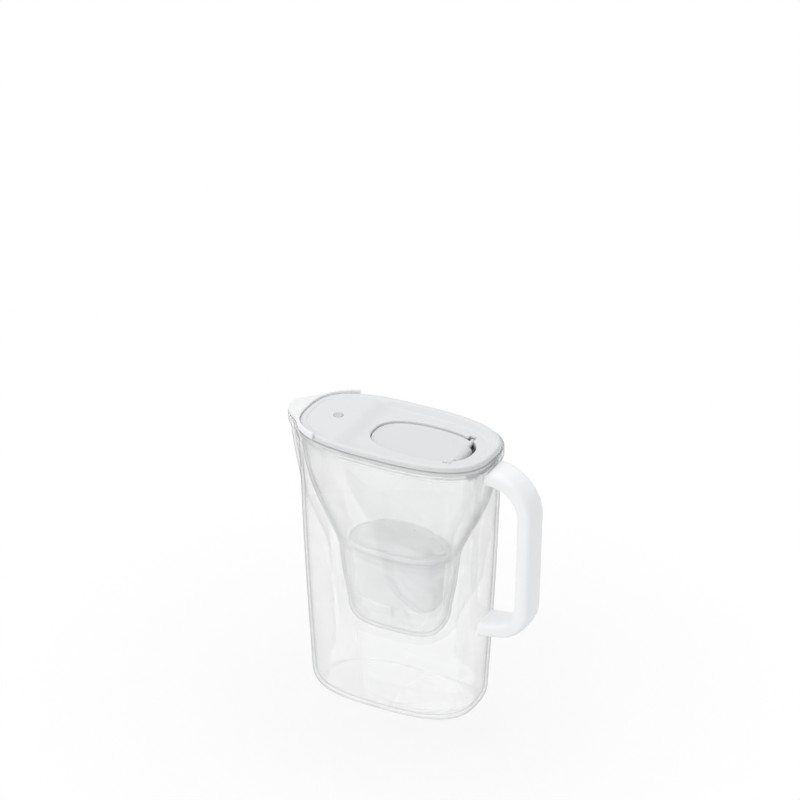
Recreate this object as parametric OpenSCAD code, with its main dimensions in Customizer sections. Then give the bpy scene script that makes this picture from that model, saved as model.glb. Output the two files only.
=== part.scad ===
/* [Jug] */
// Height of the jug rim above the surface the jug stands on
jug_h = 258; // [235:1:280]
// Length of the jug over its rim, without spout and handle
rim_len = 184; // [176:1:196]
// Width of the jug over its rim
rim_w = 104; // [98:1:114]
// Length of the jug just above its rounded foot
waist_len = 158; // [150:1:164]
// Width of the jug just above its rounded foot
waist_w = 93; // [88:1:97]
// How far the rounded foot edge runs in under the wall
foot_inset = 12; // [8:1:16]
// Height of the rounded foot edge
foot_round = 17; // [12:1:24]
// Thickness of the jug floor
floor_t = 3.2; // [2.4:0.1:4]
// Outward bow of the long wall at mid height
wall_bow = 1.2; // [0:0.2:2]
// Wall thickness of the jug
jug_wall = 2.4; // [2:0.1:3]
// Depth of the stepped rim that takes the hopper and the lid
rim_depth = 8; // [7:0.5:10]
// Thickness of the stepped rim
rim_wall = 2.2; // [1.8:0.1:2.8]
// How far the rim stands out from the wall below it
rim_step = 2; // [1.5:0.1:3]
// Squareness of the plan outline, 2 is an ellipse
plan_n = 2.8; // [2.5:0.1:3.2]

/* [Spout] */
// How far the spout reaches beyond the rim
spout_reach = 15.5; // [10:0.5:18]
// Half the width of the spout at the rim
spout_half_w = 25; // [20:1:28]
// Height over which the spout grows out of the wall
spout_drop = 88; // [60:1:110]

/* [Handle] */
// Width of the handle grip
grip_w = 27; // [20:1:30]
// Thickness of the handle grip
grip_t = 16; // [12:0.5:18]
// Gap for the fingers between wall and grip
finger_gap = 29; // [27:1:36]
// Height of the handle between the middles of its two arms
handle_h = 149; // [140:1:160]
// Drop from the rim to the middle of the upper arm
handle_drop = 15; // [12:1:20]
// Radius of the upper bend of the handle
upper_bend = 35; // [24:1:38]
// Radius of the lower bend of the handle
lower_bend = 26; // [18:1:30]
// Slope of the lower arm down to the wall
arm_slope = 3; // [0:1:8]
// Extra width of the handle where it meets the wall
handle_flare = 4; // [2:1:8]

/* [Hopper] */
// Wall thickness of the hopper
hopper_wall = 2; // [1.6:0.1:2.6]
// Thickness of the hopper flange
flange_t = 2.5; // [2:0.1:3.5]
// Length of the cartridge well at its neck
well_len = 106; // [102:1:110]
// Width of the cartridge well at its neck
well_w = 62; // [60:1:66]
// Length of the well above its rounded floor
well_floor_len = 92; // [89:1:96]
// Width of the well above its rounded floor
well_floor_w = 53; // [51:1:56]
// Height of the shelf that carries the cartridge
shelf_z = 146; // [138:1:150]
// Thickness of the shelf
shelf_t = 2; // [1.5:0.1:3]
// Height of the underside of the hopper
hopper_floor_z = 69; // [60:1:74]
// Height of the rounded floor edge of the well
well_round = 22; // [16:1:26]
// Height of the key post on the hopper floor
post_h = 16; // [12:1:18]
// Length of the key post
post_len = 14; // [10:1:18]
// Width of the key post
post_w = 10; // [8:1:14]
// Radius of each drain hole in the hopper floor
drain_r = 2.2; // [1.6:0.1:2.4]
// Distance from one drain hole to the next
drain_pitch = 10; // [9.6:0.1:11]

/* [Cartridge] */
// Length of the cartridge flange
cart_len = 94; // [92:1:97]
// Width of the cartridge flange
cart_w = 53; // [52:0.5:55]
// Depth of the cartridge cup below its flange
cart_depth = 56; // [50:1:57]
// Wall thickness of the cartridge
cart_wall = 1.4; // [1.2:0.1:2]
// Height of the domed cover above the flange
dome_h = 15; // [12:1:18]
// Distance from the end of the cartridge flange to the dome
dome_end = 9.5; // [8:0.5:11]
// Width of the flange outside the cup
cart_lip = 5.5; // [5:0.25:6]
// Thickness of the sealing ring under the flange
seal_t = 0.8; // [0.6:0.1:1.2]

/* [Lid] */
// Height of the lid from skirt to top edge
lid_h = 8.7; // [8:0.1:10]
// Wall thickness of the lid
lid_wall = 2.2; // [1.8:0.1:2.6]
// Depth of the dished plate round the flap below the top edge
dish_depth = 4.8; // [4:0.1:5.4]
// Depth of the flatter plate at the spout end below the top edge
front_depth = 0.6; // [0.4:0.1:1.2]
// Length of the tongues that reach down inside the hopper rim
tongue_len = 8; // [5:1:10]
// Width of each tongue
tongue_w = 11; // [8:1:13]
// Thickness of each tongue
tongue_t = 1.8; // [1.4:0.1:2.2]
// Length of the recess for the flip flap
flap_len = 95; // [88:1:98]
// Width of the recess for the flip flap
flap_w = 56; // [50:1:58]
// Distance from the jug centre to the middle of the flap recess
flap_x = 22.5; // [18:0.5:24]
// Thickness of the flap
flap_t = 2; // [1.6:0.1:2.4]
// Depth of the flap surface below the plate
flap_sink = 1.9; // [1.4:0.1:2.2]
// Width of the ledge that the flap rests on
flap_ledge = 3; // [2:0.25:4]
// Depth of the finger pocket below the plate
pocket_depth = 13.5; // [13:0.5:15]
// Radius of the hinge stubs of the flap
flap_pin_r = 1.3; // [1:0.1:1.5]
// Radius of the flap knuckle
knuckle_r = 2.4; // [2.2:0.1:2.6]
// Bend radius of the thumb tab behind the hinge
tab_r = 7; // [6:0.5:8]
// Angle through which the thumb tab bends down
tab_angle = 75; // [60:5:80]

/* [Spout visor] */
// Height of the visor at its rear edge
visor_h = 6; // [5.5:0.1:6.5]
// Height of the visor at the spout tip
visor_tip_h = 4.2; // [3:0.1:5]
// Wall thickness of the visor
visor_wall = 1.5; // [1.2:0.1:1.8]
// Distance from the jug centre to the visor hinge
visor_x = 62.5; // [60:0.5:66]
// Radius of the visor hinge stubs
visor_pin_r = 1; // [0.8:0.1:1.1]

/* [Indicator] */
// Radius of the filter-change indicator
ind_r = 15.3; // [14.5:0.1:16]
// Height of the indicator
ind_h = 21; // [20:0.5:24]
// Distance from the jug centre to the indicator
ind_x = 59.8; // [59:0.1:63]
// Wall thickness of the indicator
ind_wall = 1.5; // [1.2:0.1:1.8]
// Depth of the recess in the indicator top, round the push button
ind_recess = 1.8; // [1.2:0.1:2.2]
// Angle of the flat side of the indicator
ind_flat_angle = 240; // [180:5:300]
// Distance from the indicator axis to its flat side
ind_flat = 13.9; // [13.2:0.1:14.2]
// Radius of the push button
button_r = 4; // [3.5:0.1:4.5]
// Travel of the push button
button_travel = 1; // [0.8:0.1:1.2]
// Radius of the coin cell
cell_r = 10; // [8:0.5:10]
// Thickness of the coin cell
cell_t = 3.2; // [2:0.1:4]

/* [Clearances] */
// Gap between pieces that lift off one another and their seats
seat_gap = 0.3; // [0.2:0.05:0.5]
// Side gap of the hopper and the lid inside the rim
rim_gap = 0.6; // [0.5:0.1:0.8]
// Running gap of a hinge pin
pin_gap = 0.05; // [0.03:0.01:0.08]

/* [Hidden] */

round_fn = 48;
jug_points = 60;
hopper_points = 48;
cart_points = 40;
foot_steps = 4;
eps = 0.01;
mesh_gap = 0.15;

// Heights that the pieces share, from the rim down
ledge_z = jug_h - rim_depth;
flange_z = ledge_z + seat_gap;
lid_z = flange_z + flange_t + seat_gap;
lid_top = lid_z + lid_h;
plate_z = lid_top - dish_depth;
plate_under = plate_z - lid_wall;
front_z = lid_top - front_depth;
front_under = front_z - lid_wall;

// Half sizes of the nested rims
rim_a = rim_len / 2;
rim_b = rim_w / 2;
bore_a = rim_a - rim_wall;
bore_b = rim_b - rim_wall;
flange_a = bore_a - rim_gap;
flange_b = bore_b - rim_gap;
lid_a = flange_a - 0.2;
lid_b = flange_b - 0.2;

function lerp(p, q, t) = p + (q - p) * t;

// Outline with corners between an ellipse and a rectangle
function oval(a, b, n, count) = [
    for (i = [0:count - 1])
        let (t = 360 * i / count, c = cos(t), s = sin(t),
             r = pow(pow(abs(c), n) + pow(abs(s), n), -1 / n))
        [a * r * c, b * r * s]
];

function level(outline, z) = [for (p = outline) [p[0], p[1], z]];

// Skin of quads through rings with equal point counts, capped at both ends
module loft(rings) {
    count = len(rings[0]);
    last = (len(rings) - 1) * count;
    points = [for (ring = rings) for (p = ring) p];
    sides = [
        for (k = [0:len(rings) - 2], j = [0:count - 1])
            let (n = (j + 1) % count)
            [k * count + j, (k + 1) * count + j, (k + 1) * count + n, k * count + n]
    ];
    first_cap = [for (j = [0:count - 1]) j];
    last_cap = [for (j = [count - 1:-1:0]) last + j];
    polyhedron(points, concat([first_cap], sides, [last_cap]), convexity = 8);
}

// Skin whose two ends are closed by strips across the width, so that they may curve along the length
module strip_loft(rings) {
    count = len(rings[0]);
    half = count / 2;
    last = (len(rings) - 1) * count;
    points = [for (ring = rings) for (p = ring) p];
    sides = [
        for (k = [0:len(rings) - 2], j = [0:count - 1])
            let (n = (j + 1) % count)
            [k * count + j, (k + 1) * count + j, (k + 1) * count + n, k * count + n]
    ];
    first_cap = [
        [0, 1, count - 1],
        for (j = [1:half - 2]) [j, j + 1, count - j - 1, count - j],
        [half - 1, half, half + 1]
    ];
    last_cap = [
        [last + count - 1, last + 1, last],
        for (j = [1:half - 2]) [last + count - j, last + count - j - 1, last + j + 1, last + j],
        [last + half + 1, last + half, last + half - 1]
    ];
    polyhedron(points, concat(first_cap, sides, last_cap), convexity = 8);
}

// Flat plate with an oval outline
module oval_plate(a, b, n, z, h, count = jug_points) {
    translate([0, 0, z]) linear_extrude(h) polygon(oval(a, b, n, count));
}

// ---------- Jug ----------

wall_top_z = ledge_z - 1;
function wall_rise(z) = (z - foot_round) / (wall_top_z - foot_round);
function wall_a(z) = lerp(waist_len / 2, rim_a - rim_step, wall_rise(z)) + wall_bow * sin(180 * wall_rise(z));
function wall_b(z) = lerp(waist_w / 2, rim_b - rim_step, wall_rise(z)) + wall_bow * sin(180 * wall_rise(z)) / 2;

// Spout: a nose pushed out of the plan outline towards -X
spout_base_z = jug_h - spout_drop;
function spout_out(z) = z <= spout_base_z ? 0 : spout_reach * sin(90 * min(1, (z - spout_base_z) / spout_drop));
function spout_half(z, trim) =
    (spout_half_w - trim) * lerp(0.6, 1, max(0, min(1, (z - spout_base_z) / spout_drop)));
function nose(p, z, trim) =
    let (w = abs(p[1]) / spout_half(z, trim))
    p[0] < 0 && w < 1 ? [p[0] - spout_out(z) * pow(1 - w * w, 1.5), p[1]] : p;
function jug_ring(a, b, z, trim = 0) =
    level([for (p = oval(a, b, plan_n, jug_points)) nose(p, z, trim)], z);

wall_levels = [foot_round, 60, 110, 160, spout_base_z + 12, spout_base_z + 26, spout_base_z + 42, spout_base_z + 60];
function jug_outer(grow) = concat(
    [for (k = [0:foot_steps - 1]) let (t = 90 * k / foot_steps)
        jug_ring(waist_len / 2 - foot_inset * (1 - sin(t)) + grow, waist_w / 2 - foot_inset * (1 - sin(t)) + grow,
                 foot_round * (1 - cos(t)))],
    [for (z = wall_levels) jug_ring(wall_a(z) + grow, wall_b(z) + grow, z)],
    [
        jug_ring(wall_a(wall_top_z - 1) + grow, wall_b(wall_top_z - 1) + grow, wall_top_z - 1),
        jug_ring(rim_a + grow, rim_b + grow, wall_top_z + 0.4),
        jug_ring(rim_a + grow, rim_b + grow, jug_h - 0.8),
        jug_ring(rim_a - 0.7 + grow, rim_b - 0.7 + grow, jug_h)
    ]
);

inner_levels = [spout_base_z + 60, spout_base_z + 42, spout_base_z + 26, spout_base_z + 12, 160, 110, 60, foot_round];
function jug_inner() = concat(
    [
        jug_ring(bore_a + 0.7, bore_b + 0.7, jug_h, jug_wall),
        jug_ring(bore_a, bore_b, jug_h - 0.8, jug_wall),
        jug_ring(bore_a, bore_b, ledge_z, jug_wall),
        jug_ring(wall_a(wall_top_z) - jug_wall, wall_b(wall_top_z) - jug_wall, ledge_z, jug_wall)
    ],
    [for (z = inner_levels) jug_ring(wall_a(z) - jug_wall, wall_b(z) - jug_wall, z, jug_wall)],
    [for (k = [foot_steps - 1:-1:1]) let (t = 90 * k / foot_steps)
        jug_ring(waist_len / 2 - jug_wall - foot_inset * (1 - sin(t)), waist_w / 2 - jug_wall - foot_inset * (1 - sin(t)),
                 lerp(floor_t, foot_round, 1 - cos(t)), jug_wall)]
);

// The wall runs on below the standing plane and is cut there, so that the jug stands on one flat face
foot_cut = 2;
module jug_shell() {
    foot_a = waist_len / 2 - foot_inset;
    foot_b = waist_w / 2 - foot_inset;
    floor_rim = jug_wall + 2;
    color("whitesmoke", 0.35)
    difference() {
        loft(concat(
            [jug_ring(foot_a, foot_b, -foot_cut)],
            jug_outer(0),
            jug_inner(),
            [jug_ring(foot_a - floor_rim, foot_b - floor_rim, floor_t, jug_wall)]
        ));
        translate([-rim_len, -rim_w, -2 * foot_cut]) cube([2 * rim_len, 2 * rim_w, 2 * foot_cut]);
    }
}

// ---------- Handle ----------

bend_steps = 7;
section_n = 3.5;
section_points = 16;
upper_arm_z = jug_h - handle_drop;
lower_arm_z = upper_arm_z - handle_h;
handle_root_x = waist_len / 2 - 1;
grip_x = wall_a(upper_arm_z - handle_h / 2) + finger_gap + grip_t / 2;
// The grip leans a little less than the wall beside it
grip_lean = (wall_a(upper_arm_z) - wall_a(lower_arm_z)) / handle_h * 0.55;

function leaned(x, z) = [x + grip_lean * (z - upper_arm_z + handle_h / 2), 0, z];
handle_path = concat(
    [leaned(handle_root_x, upper_arm_z)],
    [for (k = [0:bend_steps]) let (t = 90 * (1 - k / bend_steps))
        leaned(grip_x - upper_bend * (1 - cos(t)), upper_arm_z - upper_bend * (1 - sin(t)))],
    [leaned(grip_x, upper_arm_z - handle_h / 2)],
    [for (k = [0:bend_steps]) let (t = 90 * k / bend_steps)
        leaned(grip_x - lower_bend * (1 - cos(t)), lower_arm_z + lower_bend * (1 - sin(t)))],
    [leaned(handle_root_x, lower_arm_z - arm_slope)]
);
function handle_section(k) =
    let (
        p = handle_path[k],
        last = len(handle_path) - 1,
        run = handle_path[min(k + 1, last)] - handle_path[max(k - 1, 0)],
        along = run / norm(run),
        across = [-along[2], 0, along[0]],
        near_wall = pow(max(0, min(1, 1 - (p[0] - rim_a) / finger_gap)), 2),
        half_w = grip_w / 2 + handle_flare / 2 * near_wall,
        half_t = grip_t / 2 - 0.5 * near_wall
    )
    [for (q = oval(half_w, half_t, section_n, section_points)) p + [0, q[0], 0] + across * q[1]];

module handle() {
    color("white")
    difference() {
        loft([for (k = [0:len(handle_path) - 1]) handle_section(k)]);
        loft(jug_outer(mesh_gap));
    }
}

// ---------- Hopper ----------

bowl_top_z = flange_z - 6;
bowl_a = wall_a(wall_top_z) - jug_wall - rim_gap;
bowl_b = wall_b(wall_top_z) - jug_wall - rim_gap;
neck_z = shelf_z - 5;
bowl_steps = 9;
well_n = 3;
well_round_z = hopper_floor_z + well_round;
well_inset = 12;

function bowl(s) = pow(sin(90 * pow(s, 0.75)), 2);
function neck_ring(grow, z) =
    let (s = (z - well_round_z) / (neck_z - well_round_z), bend = 1 - pow(1 - s, 1.4))
    level(oval(lerp(well_floor_len, well_len, bend) / 2 + grow, lerp(well_floor_w, well_w, bend) / 2 + grow,
               well_n, hopper_points), z);
function bowl_ring(grow, k) =
    let (s = k / bowl_steps, f = bowl(s))
    level(oval(lerp(well_len / 2, bowl_a, f) + grow, lerp(well_w / 2, bowl_b, f) + grow,
               lerp(well_n, plan_n, f), hopper_points), lerp(neck_z, bowl_top_z, s));
function well_floor_ring(grow, k, rise) =
    let (t = 90 * k / foot_steps)
    level(oval(well_floor_len / 2 + grow - well_inset * (1 - sin(t)), well_floor_w / 2 + grow - well_inset * (1 - sin(t)),
               well_n, hopper_points), lerp(hopper_floor_z + rise, well_round_z, 1 - cos(t)));
function rim_ring(grow, z) = level(oval(bowl_a + grow, bowl_b + grow, plan_n, hopper_points), z);
function flange_ring(z) = level(oval(flange_a, flange_b, plan_n, hopper_points), z);

shelf_a = cart_len / 2 - cart_lip + 1.2;
shelf_b = cart_w / 2 - cart_lip + 1.2;

module hopper_body() {
    loft(concat(
        [for (k = [0:foot_steps - 1]) well_floor_ring(0, k, 0)],
        [for (z = [well_round_z, lerp(well_round_z, neck_z, 0.5)]) neck_ring(0, z)],
        [for (k = [0:bowl_steps]) bowl_ring(0, k)],
        [rim_ring(0, flange_z), flange_ring(flange_z), flange_ring(flange_z + flange_t)],
        [rim_ring(-hopper_wall, flange_z + flange_t)],
        [for (k = [bowl_steps:-1:1]) bowl_ring(-hopper_wall, k)],
        [neck_ring(-hopper_wall, neck_z), neck_ring(-hopper_wall, lerp(well_round_z, neck_z, 0.5))],
        [for (k = [foot_steps:-1:0]) well_floor_ring(-hopper_wall, k, hopper_wall)]
    ));
}

// Shelf inside the neck, with a short lip that hangs down round the cartridge
module cartridge_shelf() {
    grip = 0.6;
    lip_h = 8;
    translate([0, 0, shelf_z - shelf_t])
        linear_extrude(shelf_t)
            difference() {
                polygon(oval(well_len / 2 - hopper_wall + grip, well_w / 2 - hopper_wall + grip, well_n, hopper_points));
                polygon(oval(shelf_a, shelf_b, well_n, hopper_points));
            }
    translate([0, 0, shelf_z - shelf_t - lip_h])
        linear_extrude(lip_h + eps)
            difference() {
                polygon(oval(shelf_a + hopper_wall * 0.7, shelf_b + hopper_wall * 0.7, well_n, hopper_points));
                polygon(oval(shelf_a, shelf_b, well_n, hopper_points));
            }
}

module drain_holes() {
    row_y = 5;
    for (i = [-2, -1, 1, 2], side = [-1, 1])
        translate([i * drain_pitch, side * row_y, hopper_floor_z - 1])
            cylinder(r = drain_r, h = hopper_wall + 2, $fn = round_fn);
}

module hopper_shell() {
    color("gainsboro", 0.4)
    difference() {
        union() {
            hopper_body();
            cartridge_shelf();
            translate([-post_len / 2, -post_w / 2, hopper_floor_z + hopper_wall / 2])
                cube([post_len, post_w, post_h + hopper_wall / 2]);
        }
        drain_holes();
    }
}

// ---------- Cartridge ----------

seal_z = shelf_z + seat_gap;
cup_flange_z = seal_z + seal_t;
cup_flange_t = 1.5;
cover_z = cup_flange_z + cup_flange_t;
cup_floor_z = cup_flange_z - cart_depth;
cup_a = cart_len / 2 - cart_lip;
cup_b = cart_w / 2 - cart_lip;
cup_taper = 2.5;
cup_round = 8;
cover_lip_h = 3;
cart_n = 2.6;
cup_n = 3;

function cup_ring(grow, z, shrink = 0) =
    level(oval(cup_a - shrink + grow, cup_b - shrink + grow, cup_n, cart_points), z);
function cup_outer(grow, low) = concat(
    [for (k = [0:2]) let (t = 90 * k / 3)
        cup_ring(grow, low + cup_round * (1 - cos(t)), cup_taper + cup_round * (1 - sin(t)))],
    [cup_ring(grow, low + cup_round, cup_taper)]
);

module cup_slots() {
    for (i = [-2:2])
        translate([i * 10 - 1, -8, cup_floor_z - 1]) cube([2, 16, cart_wall + 2]);
}

module cartridge_cup() {
    inner_low = cup_floor_z + cart_wall;
    color("white")
    difference() {
        union() {
            loft(concat(
                cup_outer(0, cup_floor_z),
                [cup_ring(0, cup_flange_z + cup_flange_t), cup_ring(-cart_wall, cup_flange_z + cup_flange_t)],
                [for (k = [3:-1:0]) let (t = 90 * k / 3)
                    cup_ring(-cart_wall, inner_low + cup_round * (1 - cos(t)), cup_taper + cup_round * (1 - sin(t)))]
            ));
            translate([0, 0, cup_flange_z])
                linear_extrude(cup_flange_t)
                    difference() {
                        polygon(oval(cart_len / 2, cart_w / 2, cart_n, cart_points));
                        polygon(oval(cup_a - cart_wall / 2, cup_b - cart_wall / 2, cup_n, cart_points));
                    }
        }
        cup_slots();
    }
}

// Dome of the cover: it leaves a crescent of the flange free at each end
dome_a = cart_len / 2 - dome_end;
dome_b = cart_w / 2 - 3;
hollow_tail = 0.28;
dome_levels = [0, 0.22, 0.44, 0.62, 0.8, 0.93];
function dome_ring(grow, s, low = 0, tail = 0) =
    let (t = 90 * s, f = pow(cos(t), 0.55))
    [for (p = level(oval((dome_a + grow) * f, (dome_b + grow) * f, cart_n, cart_points), cover_z + (dome_h + grow) * sin(t) - low))
        [p[0] > 0 ? p[0] * (1 - tail) : p[0], p[1], p[2]]];

// Pull ring that stands over the finger hollow at the handle end of the cover
ring_r = 7;
ring_bar_r = 1.3;
ring_x = cart_len / 2 - ring_r - ring_bar_r - 1.6;
module pull_ring() {
    intersection() {
        translate([ring_x, 0, cover_z + cover_lip_h + 1.4])
            rotate_extrude($fn = round_fn) translate([ring_r, 0]) circle(r = ring_bar_r, $fn = 24);
        translate([ring_x - ring_r / 2, -cart_w / 2, cover_z]) cube([cart_len, cart_w, dome_h]);
    }
}

module cartridge_cover() {
    lip_t = 1.6;
    hollow_r = 12;
    vent_r = 1.2;
    color("white")
    difference() {
        union() {
            difference() {
                loft([for (s = dome_levels) dome_ring(0, s)]);
                // Hollow for a fingertip under the pull ring
                translate([dome_a + 2, 0, cover_z + dome_h]) sphere(r = hollow_r, $fn = round_fn);
            }
            translate([0, 0, cover_z])
                linear_extrude(cover_lip_h)
                    difference() {
                        polygon(oval(cart_len / 2, cart_w / 2, cart_n, cart_points));
                        polygon(oval(cart_len / 2 - lip_t, cart_w / 2 - lip_t, cart_n, cart_points));
                    }
            oval_plate(cart_len / 2 - 1, cart_w / 2 - 1, cart_n, cover_z, cart_wall, cart_points);
            pull_ring();
        }
        // Space inside the dome, open to the cup below and shorter at the finger hollow
        loft(concat(
            [dome_ring(-cart_wall, 0, 1, hollow_tail)],
            [for (s = dome_levels) dome_ring(-cart_wall, s, 0, hollow_tail)]
        ));
        // Two vents near the top of the dome
        for (p = [[-19, 8], [12.5, 3]])
            translate([p[0], p[1], cover_z]) cylinder(r = vent_r, h = dome_h + 2, $fn = round_fn);
    }
}

module flange_seal() {
    color("lightgray")
    translate([0, 0, seal_z])
        linear_extrude(seal_t)
            difference() {
                polygon(oval(cart_len / 2 - 0.4, cart_w / 2 - 0.4, cart_n, cart_points));
                polygon(oval(shelf_a + 0.1, shelf_b + 0.1, cup_n, cart_points));
            }
}

screen_t = 0.6;
module top_screen() {
    color("gainsboro")
    oval_plate(cup_a - cart_wall - 0.1, cup_b - cart_wall - 0.1, cup_n, cover_z - screen_t, screen_t, cart_points);
}

granule_low_z = cup_floor_z + cart_wall + screen_t;
module bottom_screen() {
    inset = cup_taper + cup_round + 0.2;
    color("gainsboro")
    oval_plate(cup_a - cart_wall - inset, cup_b - cart_wall - inset, cup_n, cup_floor_z + cart_wall, screen_t, cart_points);
}

module filter_granules() {
    fill_h = cover_z - screen_t - granule_low_z;
    side = cart_wall + cup_taper + 0.2;
    color("dimgray")
    loft([
        cup_ring(-side - cup_round, granule_low_z),
        cup_ring(-side - cup_round * 0.3, granule_low_z + cup_round * 0.4),
        cup_ring(-side, granule_low_z + cup_round),
        cup_ring(-cart_wall - 0.3, granule_low_z + fill_h)
    ]);
}

// ---------- Lid ----------

flap_a = flap_len / 2;
flap_b = flap_w / 2;
flap_n = 2.46;
flap_top_z = plate_z - flap_sink;
flap_low_z = flap_top_z - flap_t;
ledge_top_z = flap_low_z - seat_gap;
collar_t = 1.8;
collar_low_z = ledge_top_z - 4.6;
hinge_x = flap_x + flap_a - 12.5;
hinge_z = flap_top_z - knuckle_r;
pocket_floor_z = plate_z - pocket_depth;
pocket_left_x = hinge_x - 6;
side_gap = 0.8;
crest = 4.2;
slope_run = 10;

// The plate is dished round the flap and rises to the crest at the spout end
rise_start = flap_a - flap_x + 1;
rise_run = ind_x - ind_r - seat_gap - rise_start;
function rise(x) = let (u = max(0, min(1, (-x - rise_start) / rise_run))) u * u * (3 - 2 * u);
function lid_ring(inset, z, front = undef) = [
    for (p = oval(lid_a - inset, lid_b - inset, plan_n, jug_points))
        [p[0], p[1], is_undef(front) ? z : lerp(z, front, rise(p[0]))]
];

module lid_dish() {
    strip_loft([
        lid_ring(slope_run + 1.6, plate_under, front_under),
        lid_ring(slope_run - 0.6, plate_under + 1, front_under),
        lid_ring(crest + 3, lid_top - lid_wall - 0.6, front_under),
        lid_ring(lid_wall, lid_top - lid_wall - 0.4),
        lid_ring(lid_wall, lid_z),
        lid_ring(0, lid_z),
        lid_ring(0, lid_top - 2),
        lid_ring(0.6, lid_top - 0.6),
        lid_ring(2, lid_top),
        lid_ring(crest, lid_top),
        lid_ring(crest + 2.2, lid_top - 0.9, front_z),
        lid_ring(crest + 4.4, plate_z + 1, front_z),
        lid_ring(slope_run, plate_z, front_z)
    ]);
}

module flap_outline(grow) {
    translate([flap_x, 0]) polygon(oval(flap_a + grow, flap_b + grow, flap_n, jug_points));
}

// Everything behind the hinge, where the finger pocket lies
module behind(x) {
    translate([x, -rim_b]) square([rim_a, rim_w]);
}

// Room for the flap ears at both ends of the hinge line
ear_half = 3.6;
ear_in_y = 17;
ear_out_y = 26;
ear_wall = 1.8;

module flap_collar() {
    translate([0, 0, collar_low_z])
        linear_extrude(plate_under - collar_low_z + eps)
            flap_outline(collar_t);
    translate([0, 0, pocket_floor_z - collar_t])
        linear_extrude(plate_under - pocket_floor_z + collar_t + eps)
            intersection() {
                flap_outline(collar_t);
                behind(pocket_left_x - collar_t);
            }
    for (side = [-1, 1])
        translate([hinge_x - ear_half - ear_wall, side * (ear_in_y + ear_out_y + ear_wall) / 2, hinge_z - ear_half - ear_wall])
            translate([0, -(ear_out_y + ear_wall - ear_in_y) / 2, 0])
                cube([2 * (ear_half + ear_wall), ear_out_y + ear_wall - ear_in_y, plate_under + 1 - hinge_z + ear_half + ear_wall]);
}

module ear_notches() {
    for (side = [-1, 1])
        translate([hinge_x - ear_half, side * (ear_in_y + ear_out_y) / 2 - (ear_out_y - ear_in_y) / 2, hinge_z - ear_half])
            cube([2 * ear_half, ear_out_y - ear_in_y, plate_z + 1 - hinge_z + ear_half]);
}

module flap_openings() {
    // Recess down to the ledge
    translate([0, 0, ledge_top_z]) linear_extrude(lid_h) flap_outline(0);
    // Fill opening inside the ledge
    translate([0, 0, collar_low_z - 1])
        linear_extrude(lid_h + 3)
            difference() {
                flap_outline(-flap_ledge);
                behind(pocket_left_x - collar_t);
            }
    // Finger pocket
    translate([0, 0, pocket_floor_z])
        linear_extrude(pocket_depth + 1)
            intersection() {
                flap_outline(0);
                behind(pocket_left_x);
            }
}

tongue_a = bowl_a - hopper_wall - 0.6;
tongue_b = bowl_b - hopper_wall - 0.6;
tongue_side_y = 19;
module tongues() {
    low = flange_z + flange_t - tongue_len;
    for (y = [-tongue_side_y, -tongue_side_y / 3, tongue_side_y / 3, tongue_side_y])
        translate([0, 0, low])
            linear_extrude(lid_top - lid_wall - low)
                intersection() {
                    difference() {
                        polygon(oval(tongue_a, tongue_b, plan_n, jug_points));
                        polygon(oval(tongue_a - tongue_t, tongue_b - tongue_t, plan_n, jug_points));
                    }
                    translate([rim_a / 2, y - tongue_w / 2]) square([rim_a, tongue_w]);
                }
}

socket_t = 1.5;
socket_h = 5;
module indicator_plan(grow) {
    intersection() {
        circle(r = ind_r + grow, $fn = round_fn);
        rotate(ind_flat_angle) translate([-2 * ind_r, -2 * ind_r]) square([2 * ind_r + ind_flat + grow, 4 * ind_r]);
    }
}

module indicator_socket() {
    translate([-ind_x, 0, front_under - socket_h])
        linear_extrude(socket_h + lid_wall / 2)
            difference() {
                indicator_plan(seat_gap + socket_t);
                indicator_plan(seat_gap);
            }
}

visor_gap = 0.4;
visor_z = jug_h + visor_gap;
visor_axis_z = visor_z + 1.5;
button_hole_r = button_r + 0.3;
stub_len = 2;
stub_y = lid_b * pow(1 - pow(visor_x / lid_a, plan_n), 1 / plan_n);

module lid_shell() {
    color("gainsboro")
    difference() {
        union() {
            lid_dish();
            flap_collar();
            tongues();
            indicator_socket();
            translate([-ind_x, 0, front_under - ind_recess])
                cylinder(r = button_hole_r + 1.4, h = ind_recess + lid_wall / 2, $fn = round_fn);
        }
        flap_openings();
        ear_notches();
        translate([-ind_x, 0, front_under - ind_recess - 1])
            cylinder(r = button_hole_r, h = ind_recess + lid_wall + 2, $fn = round_fn);
        for (side = [-1, 1]) {
            translate([hinge_x, side * ear_out_y, hinge_z]) rotate([90, 0, 0])
                cylinder(r = flap_pin_r + pin_gap, h = 4 * ear_wall, center = true, $fn = round_fn);
            translate([-visor_x, side * (stub_y - stub_len), visor_axis_z]) rotate([-90 * side, 0, 0])
                cylinder(r = visor_pin_r + pin_gap, h = 2 * stub_len, $fn = round_fn);
        }
    }
}

// Thumb tab: a strip that bends down behind the hinge
tab_t = 1.6;
tab_half_w = 12.5;
module thumb_tab() {
    translate([hinge_x, tab_half_w, flap_top_z]) rotate([90, 0, 0])
        linear_extrude(2 * tab_half_w)
            intersection() {
                translate([0, -tab_r]) difference() {
                    circle(r = tab_r, $fn = round_fn);
                    circle(r = tab_r - tab_t, $fn = round_fn);
                }
                translate([0, -tab_r]) polygon([[0, 0], [0, 2 * tab_r], [2 * tab_r * sin(tab_angle), 2 * tab_r * cos(tab_angle)]]);
            }
}

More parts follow.
